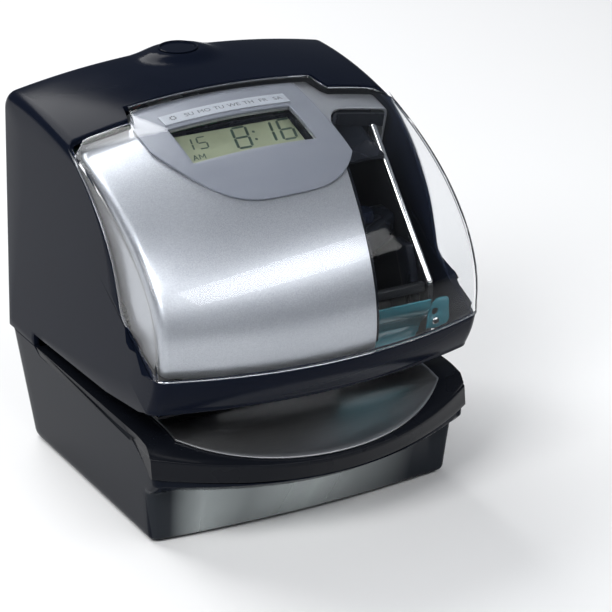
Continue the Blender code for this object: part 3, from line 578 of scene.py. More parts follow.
def cheek_wall(top_edge, lip_edge):
    """One flat side: straight lines between the top's end column and the line along throat, lip and cheek."""
    below = through(((53.8, 49.3), (53.8, 54.0), (53.4, 54.7)), 4)
    roof = np.array([(53.4 - 5.9 * i, 54.7 + 0.176 * i) for i in range(1, 13)])
    ramp = np.array([(-17.4 - 30.6 * share, 56.8 + 3.6 * share) for share in np.linspace(0.2, 1, 5)])
    start = np.concatenate([below, roof, ramp, lip_edge[::-1, 1:]])
    cheek = through(CHEEK[:9], len(top_edge) - len(start))
    front = np.concatenate([start, cheek])
    share = np.linspace(0, 1, 9)[None, :, None]
    flat = front[:, None] * (1 - share) + top_edge[:, None, 1:] * share
    x = np.sign(top_edge[0, 0]) * side_half(flat[..., :1])
    return np.concatenate([x, flat], -1)


lip_grid = lip()
top_grid = cover_top(4 + 12 + 5 + len(lip_grid), 30)
sides = [cheek_wall(top_grid[:, end], lip_grid[:, end]) for end in (0, -1)]
cover = skin("cover_shell", [top_grid, lip_grid, *sides], (0, 10, 90), case_black, CASE_WALL, 0.45)
fitted(cover, "cover", "case_black", "upper_housing")

# ---- Face panel ----------------------------------------------------------------------------------
# Under the visor lies a thin moulding sprayed silver. Its left edge rolls back, the print well is cut out
# at the right with one round inner corner, and the time display looks through a window in its upper part.

PANEL_INSET, PANEL_FOOT, PANEL_TOP = 4.6, -9.4, 67.6  # the last two as degrees up the face
WINDOW = (-33.3, 22.2, 51.4, 63.2)  # left, right, and lower and upper edge as degrees up the face
WELL_TOP, WELL_CORNER = 62.3, 56.5


def silver_paint(wire):
    """Sprayed silver lacquer: mica flakes a quarter of a millimetre across sparkle under a soft clear
    coat."""
    flakes = wire.node("TexVoronoi", {}, {"Vector": wire.place(), "Scale": 4200.0}, out="Color")
    flake = wire.node("SeparateColor", {}, {"Color": flakes}, out=0)
    cloud = wire.noise(30.0, 2.0)
    share = 0.65 * flake + 0.35 * cloud
    return {
        "Base Color": wire.blend(share, rgb(0.31, 0.325, 0.355), rgb(0.47, 0.485, 0.515)),
        "Metallic": 0.82,
        "Roughness": 0.30 + 0.10 * flake,
        "Coat Weight": 0.25,
        "Coat Roughness": 0.12,
        "Normal": wire.bump(flake, 0.00001, 0.5),
    }


def well_edge(angle):
    """Left edge of the print well, as x: it leans out as a power of the angle, then turns the inner corner
    as a quarter ellipse."""
    lean = 18.6 + 21.0 * (np.maximum(np.minimum(angle, WELL_TOP), 0) / 62.7) ** 2.2
    turn = np.clip((angle - WELL_CORNER) / (WELL_TOP - WELL_CORNER), 0, 1)
    return lean + 6.5 * (1 - np.sqrt(1 - turn * turn))


def top_angle(x, main, tab):
    """Upper edge of the sheets under the visor, as an angle: a level edge with the tab standing above it."""
    return main + (tab - main) * smooth((TAB_HALF - 1.6 - np.abs(x)) / TAB_STEP + 0.5)


def on_face(x, angle, inset):
    """Points of the face in space, for a place across in millimetres, an angle and an inset."""
    y, z = brow(angle, np.clip(x / HALF, -1, 1), inset)
    return np.stack(np.broadcast_arrays(x, y, z), -1)


def rolled_edge(side):
    """Columns of the panel's rolled edge as (x, extra inset): a quarter round, then straight back."""
    turn = np.linspace(np.pi / 2, 0, 7)
    x = np.concatenate([np.full(5, 69.6), 66.8 + 2.8 * np.sin(turn)])
    return side * x, np.concatenate([[27.0, 19.0, 12.0, 8.0, 5.0], 2.8 * (1 - np.cos(turn))])


def panel_skin():
    """Left of the window, under it, above it and right of it to the well's edge, then the bar over the
    well."""
    roll_x, roll_in = rolled_edge(-1)
    left, right, low, high = WINDOW
    left, right, low, high = left - 0.6, right + 0.6, low - 0.3, high + 0.3
    stops = (PANEL_FOOT, low, WELL_CORNER, WELL_TOP, high)
    rows = [np.linspace(a, b, n)[1:] for a, b, n in zip(stops, stops[1:], (32, 4, 9, 3))]
    angle = np.concatenate([stops[:1], *rows])

    def seam(angles):
        """Where the part under the window meets the part beside the well, as x."""
        return right - 9.5 * np.maximum(0, 1 - angles / low)

    def strip(xs, extra, angles, right_edge=None):
        """Rows of the panel at the given angles and from there to its upper edge, over columns at xs."""
        share = np.linspace(0, 1, len(xs))
        a = np.repeat(np.concatenate([angles, np.zeros(8)])[:, None], len(xs), 1)
        climb = np.linspace(0, 1, 9)[1:, None]
        top = top_angle(xs, PANEL_TOP, PANEL_TOP + 5.6)
        a[len(angles):] = angles[-1] + (top - angles[-1]) * climb
        x = np.broadcast_to(xs, a.shape)
        if right_edge is not None:
            first = seam(a[:, :1])
            x = first + (right_edge(a[:, :1]) - first) * share
        return on_face(x, a, PANEL_INSET + extra)

    left_xs = np.concatenate([roll_x, np.linspace(-66.8, -48, 8)[1:], np.linspace(-48, -42, 9)[1:],
                              np.linspace(-42, left, 5)[1:]])
    extra = np.concatenate([roll_in, np.zeros(len(left_xs) - len(roll_in))])
    middle = np.linspace(left, right, 28)
    below = np.repeat(angle[angle <= low][:, None], len(middle), 1)
    bar_x, bar_in = rolled_edge(1)
    below_x = left + (seam(below) - left) * np.linspace(0, 1, 28)
    start = float(well_edge(np.array(WELL_TOP)))
    bar_xs = np.concatenate([np.linspace(start, 48, 8), np.linspace(48, 66.8, 8)[1:], bar_x[::-1][1:]])
    bar_extra = np.concatenate([np.zeros(14), bar_in[::-1]])
    right_xs = np.linspace(right, start, 12)
    return [
        strip(left_xs, extra, angle),
        on_face(below_x, below, PANEL_INSET),
        strip(middle, 0.0, np.array([high])),
        strip(right_xs, 0.0, angle, well_edge),
        strip(bar_xs, bar_extra, angle[angle >= WELL_TOP]),
    ]


panel = skin("silver_panel", panel_skin(), (0, 60, 90), finish("silver_paint", silver_paint), 1.3, 0.3)
fitted(panel, "cover", "silver_paint", "face_panel")

# ---- Display surround and day strip --------------------------------------------------------------
# A smooth dark grey pad stands a hair proud of the panel round the window, rounded below like a bowl. A
# thin light strip above the window carries a sign for the clock and the names of the days, printed in
# black.


def smooth_grey(wire):
    """Satin grey lacquer without flake, a little duller in streaks where it has been wiped."""
    wiped = wire.noise(35.0, 2.0, (1.0, 3.0, 3.0))
    return {
        "Base Color": wire.blend(wiped, rgb(0.115, 0.124, 0.148), rgb(0.132, 0.142, 0.166)),
        "Metallic": 0.25,
        "Roughness": 0.34 + 0.12 * wiped,
    }


def strip_print(wire):
    """Matt light grey foil."""
    tooth = wire.noise(3000.0, 1.0)
    return {
        "Base Color": wire.blend(tooth, rgb(0.175, 0.19, 0.215), rgb(0.20, 0.215, 0.24)),
        "Roughness": 0.5,
        "Normal": wire.bump(tooth, 0.00001, 0.3),
    }


def bezel_skin():
    """Columns across the pad, each from its lower arc to its upper edge, in three bands that leave the
    window free: below it, beside it and above it. The arc's height grows with a power of the distance from
    its middle."""
    left, right, low, high = WINDOW
    ends = 1 - np.cos(np.linspace(0, np.pi / 2, 12))
    xs = np.concatenate([-45.4 + 12.1 * ends, np.linspace(left, right, 30), 34.0 - 11.8 * ends])
    xs = np.unique(xs.round(3))
    away = np.abs((xs + 4.0) / 41.4)
    arc = np.minimum(37.0 + 21.0 * away**3.2 * np.where(xs < -4, 1.0, 0.6), 66.0)
    top = top_angle(xs, 66.3, 71.9)

    def band(start, end, steps, keep):
        share = np.linspace(0, 1, steps)[:, None]
        a = start + (end - start) * share
        return on_face(np.broadcast_to(xs[keep], a[:, keep].shape), a[:, keep], 3.2)

    every = np.full(len(xs), True)
    beside = [xs <= left + 0.01, xs >= right - 0.01]
    start = np.maximum(arc, low)
    patches = [band(arc, start, 12, every), band(np.maximum(arc, high), top, 8, every)]
    return patches + [band(start, np.maximum(start, high), 12, keep) for keep in beside]


bezel = skin("display_surround", bezel_skin(), (0, 60, 90), finish("bezel_grey", smooth_grey), 1.1, 0.35)
fitted(bezel, "cover", "bezel_grey", "display_bezel")

strip_x, strip_a = np.meshgrid(np.linspace(-33, 24, 40), np.linspace(64.3, 67.5, 5))
strip = skin("day_names_strip", [on_face(strip_x, strip_a, 2.75)], (0, 60, 90),
             finish("strip_grey", strip_print), 0.4, 0.08)
fitted(strip, "cover", "strip_grey", "day_strip")


def ink(wire):
    """Black screen-printing ink, slightly uneven."""
    return {"Base Color": rgb(0.012, 0.013, 0.015), "Roughness": 0.45 + 0.2 * wire.noise(900.0)}


DEGREE = 2.1  # millimetres of face to one degree about the strip
CAPITAL = 0.7  # height of a capital letter of size 1
PRINT_ANGLE = 65.95  # the print's middle, as degrees up the face


def printed(name, word, x, angle, inset, height, material):
    """A word lying on the face: its letters are made a mesh, scaled to a height and bent over the surface."""
    letters = bpy.data.curves.new(name, "FONT")
    letters.body, letters.align_x, letters.size, letters.resolution_u = word, "CENTER", 1.0, 3
    held = placed(name, letters)
    mesh = bpy.data.meshes.new_from_object(held.evaluated_get(bpy.context.evaluated_depsgraph_get()))
    bpy.data.objects.remove(held)
    flat = np.empty(len(mesh.vertices) * 3)
    mesh.vertices.foreach_get("co", flat)
    flat = flat.reshape(-1, 3) * height / CAPITAL
    bent = on_face(x + flat[:, 0] * 1.12, angle + (flat[:, 1] - height / 2) / DEGREE, inset)
    mesh.vertices.foreach_set("co", (bent * MM).ravel())
    mesh.materials.clear()
    mesh.materials.append(material)
    fitted(placed(name, mesh), "cover", "case_black")


black_ink = finish("black_ink", ink)
for i, day in enumerate(("SU", "MO", "TU", "WE", "TH", "FR", "SA")):
    printed(f"day_name_{i + 1}", day, -20.8 + 6.75 * i, PRINT_ANGLE, 2.70, 2.3, black_ink)



def cog_skin():
    """A flat cog wheel with eight teeth: a cosine of eight turns, steepened and cut off level, on a round
    rim."""
    turn = np.linspace(0, 2 * np.pi, 97)
    wave = np.cos(8 * turn)
    reach = np.stack([np.full(97, 0.85), 1.35 + 0.28 * np.sign(wave) * np.minimum(np.abs(wave) * 3, 1)])
    return [on_face(-28.0 + reach * np.cos(turn), PRINT_ANGLE + reach * np.sin(turn) / DEGREE, 2.68)]


fitted(skin("clock_sign", cog_skin(), (0, 60, 90), black_ink), "cover", "case_black")

# ---- Time display --------------------------------------------------------------------------------
# A liquid crystal module on a bracket behind the window: a grey-green glass in a black frame whose walls
# stand up to the panel. The dark figures lie in the glass: a small date, the hour and minute, and the half
# of the day.

TILT = math.radians(17.6)
GLASS_LEVEL = -10.9
MARK_LEVEL = GLASS_LEVEL + 0.06
WINDOW_X = -5.5
window_y, window_z = brow(57.3, WINDOW_X / HALF, 0.0)


def in_window(across, up, level):
    """Points of the tilted display in space: across and up in its plane, and a level above the face."""
    y = window_y + up * math.cos(TILT) - level * math.sin(TILT)
    z = window_z + up * math.sin(TILT) + level * math.cos(TILT)
    return np.stack(np.broadcast_arrays(across + WINDOW_X, y, z), -1)


def crystal(wire):
    """Grey-green reflector seen through a polarizer: a fine even tooth."""
    tooth = wire.noise(5000.0, 1.0)
    return {
        "Base Color": wire.blend(tooth, rgb(0.135, 0.152, 0.105), rgb(0.155, 0.174, 0.118)),
        "Roughness": 0.28,
        "Normal": wire.bump(tooth, 0.000004, 0.4),
    }


def segment_ink(wire):
    """Crystal turned dark: nearly black with a green cast."""
    return {"Base Color": rgb(0.018, 0.034, 0.028), "Roughness": 0.3 + 0.05 * wire.noise(2000.0)}


crystal_green = finish("crystal_green", crystal)
segment_dark = finish("segment_dark", segment_ink)
repaint(crystal_green, "display_glass", "lcd_glass")


def frame_walls():
    """A channel section carried round the glass: outer side, top edge just under the panel, inner side and
    the ledge over the glass. Its top follows the panel's curve."""
    corners = np.array([(-29.3, -12.9), (28.9, -12.9), (28.9, 13.9), (-29.3, 13.9), (-29.3, -12.9)])
    share = np.linspace(0, 1, 17)[:-1, None]
    loop = np.concatenate([a + (b - a) * share for a, b in zip(corners, corners[1:])])
    loop = np.concatenate([loop, loop[:1]])
    grow = np.sign(loop - loop.mean(0)) * (np.abs(np.abs(loop - (-0.2, 0.5)) - (29.1, 13.4)) < 0.02)
    x = (loop[:, 0] + WINDOW_X).clip(-HALF, HALF)
    slope = 1 - (x / HALF) ** 2
    top = -7.3 - 8.5 * (slope.max() - slope) - 0.009 * loop[:, 1] ** 2
    section = [(1.1, -15.8), (1.1, top), (0.2, top + 0.25), (-0.3, top), (-0.3, -10.75), (-1.2, -10.7)]
    rows = []
    for out, level in section:
        rows.append(in_window(loop[:, 0] + grow[:, 0] * out, loop[:, 1] + grow[:, 1] * out, level))
    return [np.array(rows)]


walls = skin("display_frame", frame_walls(), (-5, 5, 120), table_black, sharp=30)
fitted(walls, "base", "table_black", "lcd_frame")

BARS = {"8": "abcdefg", "1": "bc", "6": "acdefg", "5": "acdfg"}
BAR_ENDS = {"a": ((0, 2), (1, 2)), "b": ((1, 2), (1, 1)), "c": ((1, 1), (1, 0)), "d": ((0, 0), (1, 0)),
            "e": ((0, 1), (0, 0)), "f": ((0, 2), (0, 1)), "g": ((0, 1), (1, 1))}


def figure(name, digit, left, low, width, height, thick):
    """One figure of the display: bars with pointed ends on a box leaning right by a fifth of its height."""
    corners, faces = [], []
    for bar in BARS[digit]:
        (x0, y0), (x1, y1) = BAR_ENDS[bar]
        one = np.array([x0 * width, y0 * height / 2])
        two = np.array([x1 * width, y1 * height / 2])
        along = (two - one) / np.hypot(*(two - one))
        beside = np.array([-along[1], along[0]]) * thick / 2
        one, two = one + along * thick * 0.12, two - along * thick * 0.12
        point = along * thick / 2
        faces.append(list(range(len(corners), len(corners) + 6)))
        corners += [one, one + point + beside, two - point + beside]
        corners += [two, two - point - beside, one + point - beside]
    flat = np.array(corners)
    spots = in_window(left + flat[:, 0] + 0.2 * flat[:, 1], low + flat[:, 1], MARK_LEVEL)
    mesh = bpy.data.meshes.new(name)
    mesh.from_pydata((spots * MM).tolist(), [], faces)
    mesh.materials.append(segment_dark)
    fitted(placed(name, mesh), "base", "display_glass")


for name, *size in (
    ("figure_date_1", "1", -23.2, 2.8, 3.6, 7.4, 0.8),
    ("figure_date_2", "5", -17.0, 2.8, 3.9, 7.4, 0.8),
    ("figure_hour", "8", -1.4, -1.3, 6.3, 13.2, 1.25),
    ("figure_minute_1", "1", 10.1, -1.0, 6.0, 13.0, 1.25),
    ("figure_minute_2", "6", 19.6, -1.0, 5.8, 13.0, 1.25),
):
    figure(name, *size)


def on_glass(name, patches):
    """Flat marks on the glass, given as grids of (across, up)."""
    grids = [in_window(patch[..., 0], patch[..., 1], MARK_LEVEL) for patch in patches]
    fitted(skin(name, grids, (0, 60, 90), segment_dark), "base", "display_glass")


def stroke(x0, y0, x1, y1, thick):
    """A straight mark as a grid of four corners."""
    run = np.array([x1 - x0, y1 - y0])
    beside = np.array([-run[1], run[0]]) / np.hypot(*run) * thick / 2
    return np.array([[(x0, y0) + beside, (x0, y0) - beside], [(x1, y1) + beside, (x1, y1) - beside]])


COLON = ((8.3, 1.9, 8.6, 3.2, 1.1), (9.3, 6.9, 9.6, 8.2, 1.1))
HALF_OF_DAY = (
    (-22.6, -3.6, -21.2, -0.4, 0.5), (-21.2, -0.4, -20.6, -3.6, 0.5), (-22.1, -2.5, -20.8, -2.5, 0.4),
    (-19.8, -3.6, -19.2, -0.4, 0.5), (-19.2, -0.4, -18.4, -2.6, 0.45), (-18.4, -2.6, -16.9, -0.4, 0.45),
    (-16.9, -0.4, -17.4, -3.6, 0.5),
)
on_glass("figure_colon", [stroke(*mark) for mark in COLON])
on_glass("figure_am", [stroke(*mark) for mark in HALF_OF_DAY])

# ---- Print well lining ---------------------------------------------------------------------------
# Black moulding behind the panel's cut-out, open at the right and below. Its left wall follows the edge of
# the well inwards, and its ceiling runs on from it under the bar over the well.


def liner_skin():
    """A line up the well's left edge, round its corner and along its top, carried inwards; the wall's depth
    falls off in straight steps on the way up."""
    rise = np.linspace(-6.0, WELL_CORNER, 25)
    corner = np.linspace(WELL_CORNER, WELL_TOP - 0.9, 9)[1:]
    left = np.stack([well_edge(rise) + 1.0, rise, np.interp(rise, [30, 42, 56], [14.0, 7.0, 5.0])], 1)
    bend = np.stack([well_edge(corner) + 1.0, corner, np.full(8, 5.0)], 1)
    roof = np.stack([np.linspace(49, 66.5, 14), np.full(14, WELL_TOP - 0.9), np.full(14, 6.0)], 1)
    line = np.concatenate([left, bend, roof])
    share = np.linspace(0, 1, 7)[:, None]
    return [on_face(line[:, 0] + 0 * share, line[:, 1] + 0 * share, 6.1 + line[:, 2] * share)]


liner = skin("well_lining", liner_skin(), (45, -20, 60), table_black, 0.9)
fitted(liner, "cover", "table_black", "well_liner")

# ---- Visor ---------------------------------------------------------------------------------------
# One clear acrylic moulding, 1.5 thick, snapped over the open face. It wraps round both front corners to
# the cheeks, has a tab over the panel's tab at the top and draws in at the bottom to stand on the lip.


def see_through(wire, body, passed):
    """Light from the lamps passes straight through, tinted, and what is seen through the piece refracts."""
    glass = wire.node("BsdfPrincipled", {}, body)
    straight = wire.node("BsdfTransparent", {}, {"Color": passed})
    shadow = wire.node("LightPath", out="Is Shadow Ray")
    return wire.node("MixShader", {}, {0: shadow, 1: glass, 2: straight})


def clear_acrylic(wire):
    """Clear acrylic, polished all over. Its IOR is set below the real 1.49, so that it reflects less."""
    return see_through(wire, {
        "Base Color": rgb(0.985, 0.992, 1.0), "Roughness": 0.0, "IOR": 1.2, "Transmission Weight": 1.0,
    }, rgb(0.97, 0.98, 0.985))


def visor_skin():
    """Rows run from the foot to the upper edge, each from one cheek round the front corners to the other. The
    wings lie in the flat of the cheeks and end a hair in front of their edge."""
    flats = np.concatenate([np.linspace(-70, 70, 45), np.linspace(-48, -42, 10), np.linspace(42, 48, 10)])
    t, drop = columns(3.0, 8, np.unique(flats.round(2)))
    x = t * HALF
    share = np.linspace(0, 1, 44)[:, None]
    tight = drop * (1 - 0.7 * share**6)
    corner = 3.6 * smooth((np.abs(x) - 65.5) / 8.4)
    top = top_angle(x, 67.0, 72.3) - corner
    face_y, face_z = brow(-4 + (top + 4) * share, t, tight)
    k = 1 - t * t
    foot = (-66.0 - 14.7 * k + 0.8 * drop, np.full_like(t, RIM + 0.4))
    knee = (face_y[0] - 0.2, np.full_like(t, RIM + 2.2))
    u = np.linspace(0, 1, 8)[:-1, None]
    draw = [(1 - u) ** 2 * a + 2 * u * (1 - u) * b + u * u * c[0]
            for a, b, c in zip(foot, knee, (face_y, face_z))]
    y, z = np.concatenate([draw[0], face_y]), np.concatenate([draw[1], face_z])
    cheek = through(CHEEK[:-1], 44) - np.stack([0.5 + 0.9 * share[:, 0], 0 * share[:, 0]], 1)
    start = np.stack([np.full(7, -58.2), np.linspace(RIM + 0.4, cheek[0, 1], 8)[:-1]], 1)
    cheek = np.concatenate([start, cheek])
    front = np.stack([t * side_half(y), y, z], -1)
    across = np.linspace(1, 0, 7)[None, :-1, None]
    wings = []
    for end in (0, -1):
        side = front[:, end, 1:][:, None] * (1 - across) + cheek[:, None] * across
        sheet = np.concatenate([np.sign(t[end]) * side_half(side[..., :1]), side], -1)
        wings.append(sheet)
    return [np.concatenate([wings[0], front, wings[1][:, ::-1]], 1)]


acrylic = finish("clear_acrylic", clear_acrylic)
visor = skin("clear_visor", visor_skin(), (0, 60, 90), acrylic, wall=1.5, edge=0.2, sharp=25)
fitted(visor, "cover", "clear_plastic", "visor")

# ---- Lock ----------------------------------------------------------------------------------------
# A small cam lock in the middle of the top's back edge. Its plug lies deep in a black socket, so that the
# key stands half in the cover; behind it, the cam turns under the keeper on the chassis.


def dull_zinc(wire):
    """Zinc die casting gone dark: grey metal with a cloudy surface."""
    cloud = wire.noise(300.0, 3.0)
    return {
        "Base Color": wire.blend(cloud, rgb(0.05, 0.052, 0.056), rgb(0.10, 0.105, 0.11)),
        "Metallic": 1.0,
        "Roughness": 0.35 + 0.2 * cloud,
    }


def turned(name, centre, axis, profile, sides, material, sharp=35.0):
    """A lathe piece: (distance along the axis, radius) pairs carried round the axis X, Y or Z through a
    centre."""
    at = "XYZ".index(axis)
    along, radius = np.array(profile, float).T
    turn = np.linspace(0, 2 * np.pi, sides + 1)
    flat = [radius[:, None] * np.cos(turn), radius[:, None] * np.sin(turn)]
    flat.insert(at, np.repeat(along[:, None], sides + 1, 1))
    points = np.stack(flat, -1) + np.array(centre, float)
    middle = np.array(centre, float)
    middle[at] += (along.min() + along.max()) / 2
    return skin(name, [points], middle, material, sharp=sharp)


zinc_dark = finish("dull_zinc", dull_zinc)
barrel = turned("lock_socket", (LOCK_X, LOCK_Y, 0), "Z", (
    (149, 5.4), (149, 7.2), (168.35, 7.2), (168.4, 8.3), (168.7, 8.5), (168.95, 8.2), (168.9, 7.7),
    (168.4, 7.4), (163.4, 7.2), (163.4, 5.4), (149, 5.4)), 48, case_black)
fitted(barrel, "cover", "case_black", "lock_barrel")


def slot_ring(half_x, half_y, level, sides):
    """A slot with rounded corners about the lock's axis: each coordinate is cos or sin to the power 0.4."""
    turn = np.linspace(0, 2 * np.pi, sides + 1)
    x = half_x * np.sign(np.cos(turn)) * np.abs(np.cos(turn)) ** 0.4
    y = half_y * np.sign(np.sin(turn)) * np.abs(np.sin(turn)) ** 0.4
    return np.stack([LOCK_X + x, LOCK_Y + y, np.full_like(x, level)], 1)


def plug_skin():
    """Rings from the foot of the plug up its side, over its face and down into the keyway."""
    turn = np.linspace(0, 2 * np.pi, 49)
    rings = []
    for radius, level in ((0, 146.3), (4.6, 146.3), (5.0, 146.7), (5.0, 163.0), (4.7, 163.3)):
        ring = [LOCK_X + radius * np.cos(turn), LOCK_Y + radius * np.sin(turn), np.full_like(turn, level)]
        rings.append(np.stack(ring, 1))
    rings += [slot_ring(x, y, z, 48) for x, y, z in ((3.1, 0.9, 163.3), (2.9, 0.7, 163.0), (2.9, 0.7, 158.0))]
    return [np.stack([*rings, slot_ring(0, 0, 158.0, 48)])]


plug = skin("lock_plug_face", plug_skin(), (LOCK_X, LOCK_Y, 155), zinc_dark, sharp=30)
fitted(plug, "lock", "bright_steel", "lock_plug")
repaint(zinc_dark, "zinc_steel", "lock_cam")

# ---- Base fittings -------------------------------------------------------------------------------
# A zinc-plated steel plate closes the tub from below, held by four pan-head screws beside the feet. The
# mains inlet sits low in the back, a black moulding round two pins.


def zinc_plate(wire):
    """Zinc-plated steel sheet: flat grey crystals, each a little duller or brighter than the next."""
    crystals = wire.node("TexVoronoi", {}, {"Vector": wire.place(), "Scale": 260.0}, out="Color")
    share = wire.node("SeparateColor", {}, {"Color": crystals}, out=0)
    return {
        "Base Color": wire.blend(share, rgb(0.46, 0.47, 0.49), rgb(0.60, 0.61, 0.63)),
        "Metallic": 1.0,
        "Roughness": 0.30 + 0.14 * share,
        "Normal": wire.bump(wire.noise(900.0), 0.00002),
    }


def bright_turned(wire):
    """Turned and polished steel: bright, with the faintest smear."""
    smear = wire.noise(400.0, 3.0)
    return {"Base Color": rgb(0.72, 0.72, 0.73), "Metallic": 1.0, "Roughness": 0.14 + 0.10 * smear}


def box_grids(*boxes):
    """Six faces for each box, given as (low corner, high corner)."""
    grids = []
    for low, high in boxes:
        ends = np.array([low, high], float)
        for axis in range(3):
            one, two = [other for other in range(3) if other != axis]
            for side in (0, 1):
                grid = np.empty((2, 2, 3))
                grid[..., axis] = ends[side, axis]
                grid[..., one] = ends[:, one][:, None]
                grid[..., two] = ends[:, two][None, :]
                grids.append(grid)
    return grids


def pan_screw(name, x, y):
    """A pan head facing down with a round recess, and its shank up into the tub."""
    return turned(name, (x, y, 0), "Z", (
        (1.5, 0), (1.5, 0.8), (0.8, 1.0), (0.6, 1.3), (0.62, 2.3), (0.85, 2.8), (1.25, 3.0), (1.3, 1.5),
        (8.6, 1.5), (9.0, 1.1), (9.0, 0)), 24, bright_steel, 30)


galvanised = finish("zinc_plate", zinc_plate)
bright_steel = finish("bright_steel", bright_turned)
repaint(galvanised, "zinc_steel", "bottom_plate")
for end, y in (("front", -32), ("rear", 54)):
    for side, x in (("left", -40.56), ("right", 40.56)):
        screw = pan_screw(f"screw_{end}_{side}", x, y)
        fitted(screw, "base", "bright_steel", f"base_screw_{end}_{side}")
repaint(table_black, "table_black", "power_inlet")
pins = [((x - 0.9, 69.5, 21.2), (x + 0.9, 77.6, 22.8)) for x in (43.6, 48.4)]
fitted(skin("inlet_pins", box_grids(*pins), (46, 74, 22), bright_steel, edge=0.3), "base", "bright_steel")

# ---- Chassis -------------------------------------------------------------------------------------
# Zinc-plated sheet steel: two side plates, a cross plate at the back, a tie bar in front, the card guide that
# forms the roof of the throat, and the keeper that the lock's cam hooks under. All but the keeper are given
# near black as painted shade, so that the inside of the print well stays dark. A bright rod finishes the
# right plate.


def painted_shade_steel(wire):
    """Steel coloured nearly black as painted shade, with a dull oily sheen in clouds."""
    cloud = wire.noise(120.0, 3.0)
    return {
        "Base Color": wire.blend(cloud, rgb(0.010, 0.011, 0.013), rgb(0.022, 0.024, 0.028)),
        "Metallic": 0.5,
        "Roughness": 0.38 + 0.15 * cloud,
    }


plates_in_painted_shade = finish("steel_painted_shade", painted_shade_steel)
# Painted shade: the zinc-plated side plates, cross plate and tie bar are coloured near black.
repaint(plates_in_painted_shade, "zinc_steel", "left_side_plate", "right_side_plate", "rear_cross_plate", "front_tie_bar")
repaint(galvanised, "zinc_steel", "lock_keeper")
# Painted shade: the card guide and the display bracket take the black plastic's finish so that they stay
# dark.
repaint(table_black, "table_black", "upper_guide", "display_bracket")


def rolled_bead(start, end, radius, x):
    """A round bar from (y, z) to (y, z) beside a plate, with both ends drawn in to a dome."""
    along = np.array(end, float) - start
    length = np.hypot(*along)
    along /= length
    dome = np.linspace(0, np.pi / 2, 5)
    place = np.concatenate([radius * (1 - np.cos(dome)), length - radius * (1 - np.cos(dome[::-1]))])
    reach = radius * np.concatenate([np.sin(dome), np.sin(dome[::-1])])[:, None]
    turn = np.linspace(0, 2 * np.pi, 25)
    side = reach * np.sin(turn)
    y = start[0] + place[:, None] * along[0] + side * along[1]
    z = start[1] + place[:, None] * along[1] - side * along[0]
    return np.stack([x + reach * np.cos(turn), y, z], -1)


bead = rolled_bead((-53.0, 90.6), (-4.2, 144.4), 1.5, 57.0)
rod = skin("rolled_plate_edge", [bead], (57.2, -33, 112), bright_steel, sharp=60)
fitted(rod, "base", "bright_steel")

# ---- Circuit boards ------------------------------------------------------------------------------
# Glass-fibre boards under green lacquer. The main board hangs on the cross plate and carries the
# controller, the motor driver and the supply's smoothing capacitors; small boards carry the display and the
# setting buttons.


def board_lacquer(wire):
    """Green lacquer over copper: lighter tracks along the borders of angular cells."""
    cells = wire.node("TexVoronoi", {"feature": "DISTANCE_TO_EDGE", "distance": "MANHATTAN"}, {
        "Vector": wire.place(), "Scale": 210.0,
    })
    track = cells < 0.07
    return {
        "Base Color": wire.blend(track, rgb(0.012, 0.085, 0.035), rgb(0.03, 0.17, 0.075)),
        "Roughness": 0.28 + 0.12 * wire.noise(500.0),
        "Specular IOR Level": 0.4,
    }


def epoxy_black(wire):
    """Moulded epoxy of a chip: dull black with a fine grain."""
    grain = wire.noise(2500.0)
    return {"Base Color": rgb(0.02, 0.02, 0.022), "Roughness": 0.5 + 0.15 * grain}


def sleeve_blue(wire):
    """Shrunk sleeve of a capacitor: deep blue and smooth."""
    return {"Base Color": rgb(0.015, 0.035, 0.16), "Roughness": 0.25 + 0.1 * wire.noise(300.0)}


def nylon_white(wire):
    """Natural nylon: milky white and slightly waxy."""
    mottle = wire.noise(350.0, 3.0)
    return {
        "Base Color": wire.blend(mottle, rgb(0.70, 0.69, 0.64), rgb(0.78, 0.77, 0.73)),
        "Roughness": 0.36 + 0.1 * mottle,
        "Subsurface Weight": 0.1, "Subsurface Scale": 0.002,
    }


def chips(places, top, depth):
    """Chip bodies on the main board's front: (x, z, half width, half height) each, standing off it by a
    depth."""
    return box_grids(*[((x - w, top - depth, z - h), (x + w, top - 0.5, z + h)) for x, z, w, h in places])


def chip_legs(places, top):
    """Bent legs at 2.54 spacing along both long sides of every chip: a foot at the board and a shoulder."""
    legs = []
    for x, z, w, h in places:
        for shift in np.arange(-w + 1.4, w - 0.6, 2.54):
            for side in (-1, 1):
                edge = z + side * (h + 0.55)
                at = x + shift
                legs.append(((at - 0.25, top - 1.9, edge - 0.5), (at + 0.25, top + 0.05, edge + 0.5)))
    return box_grids(*legs)


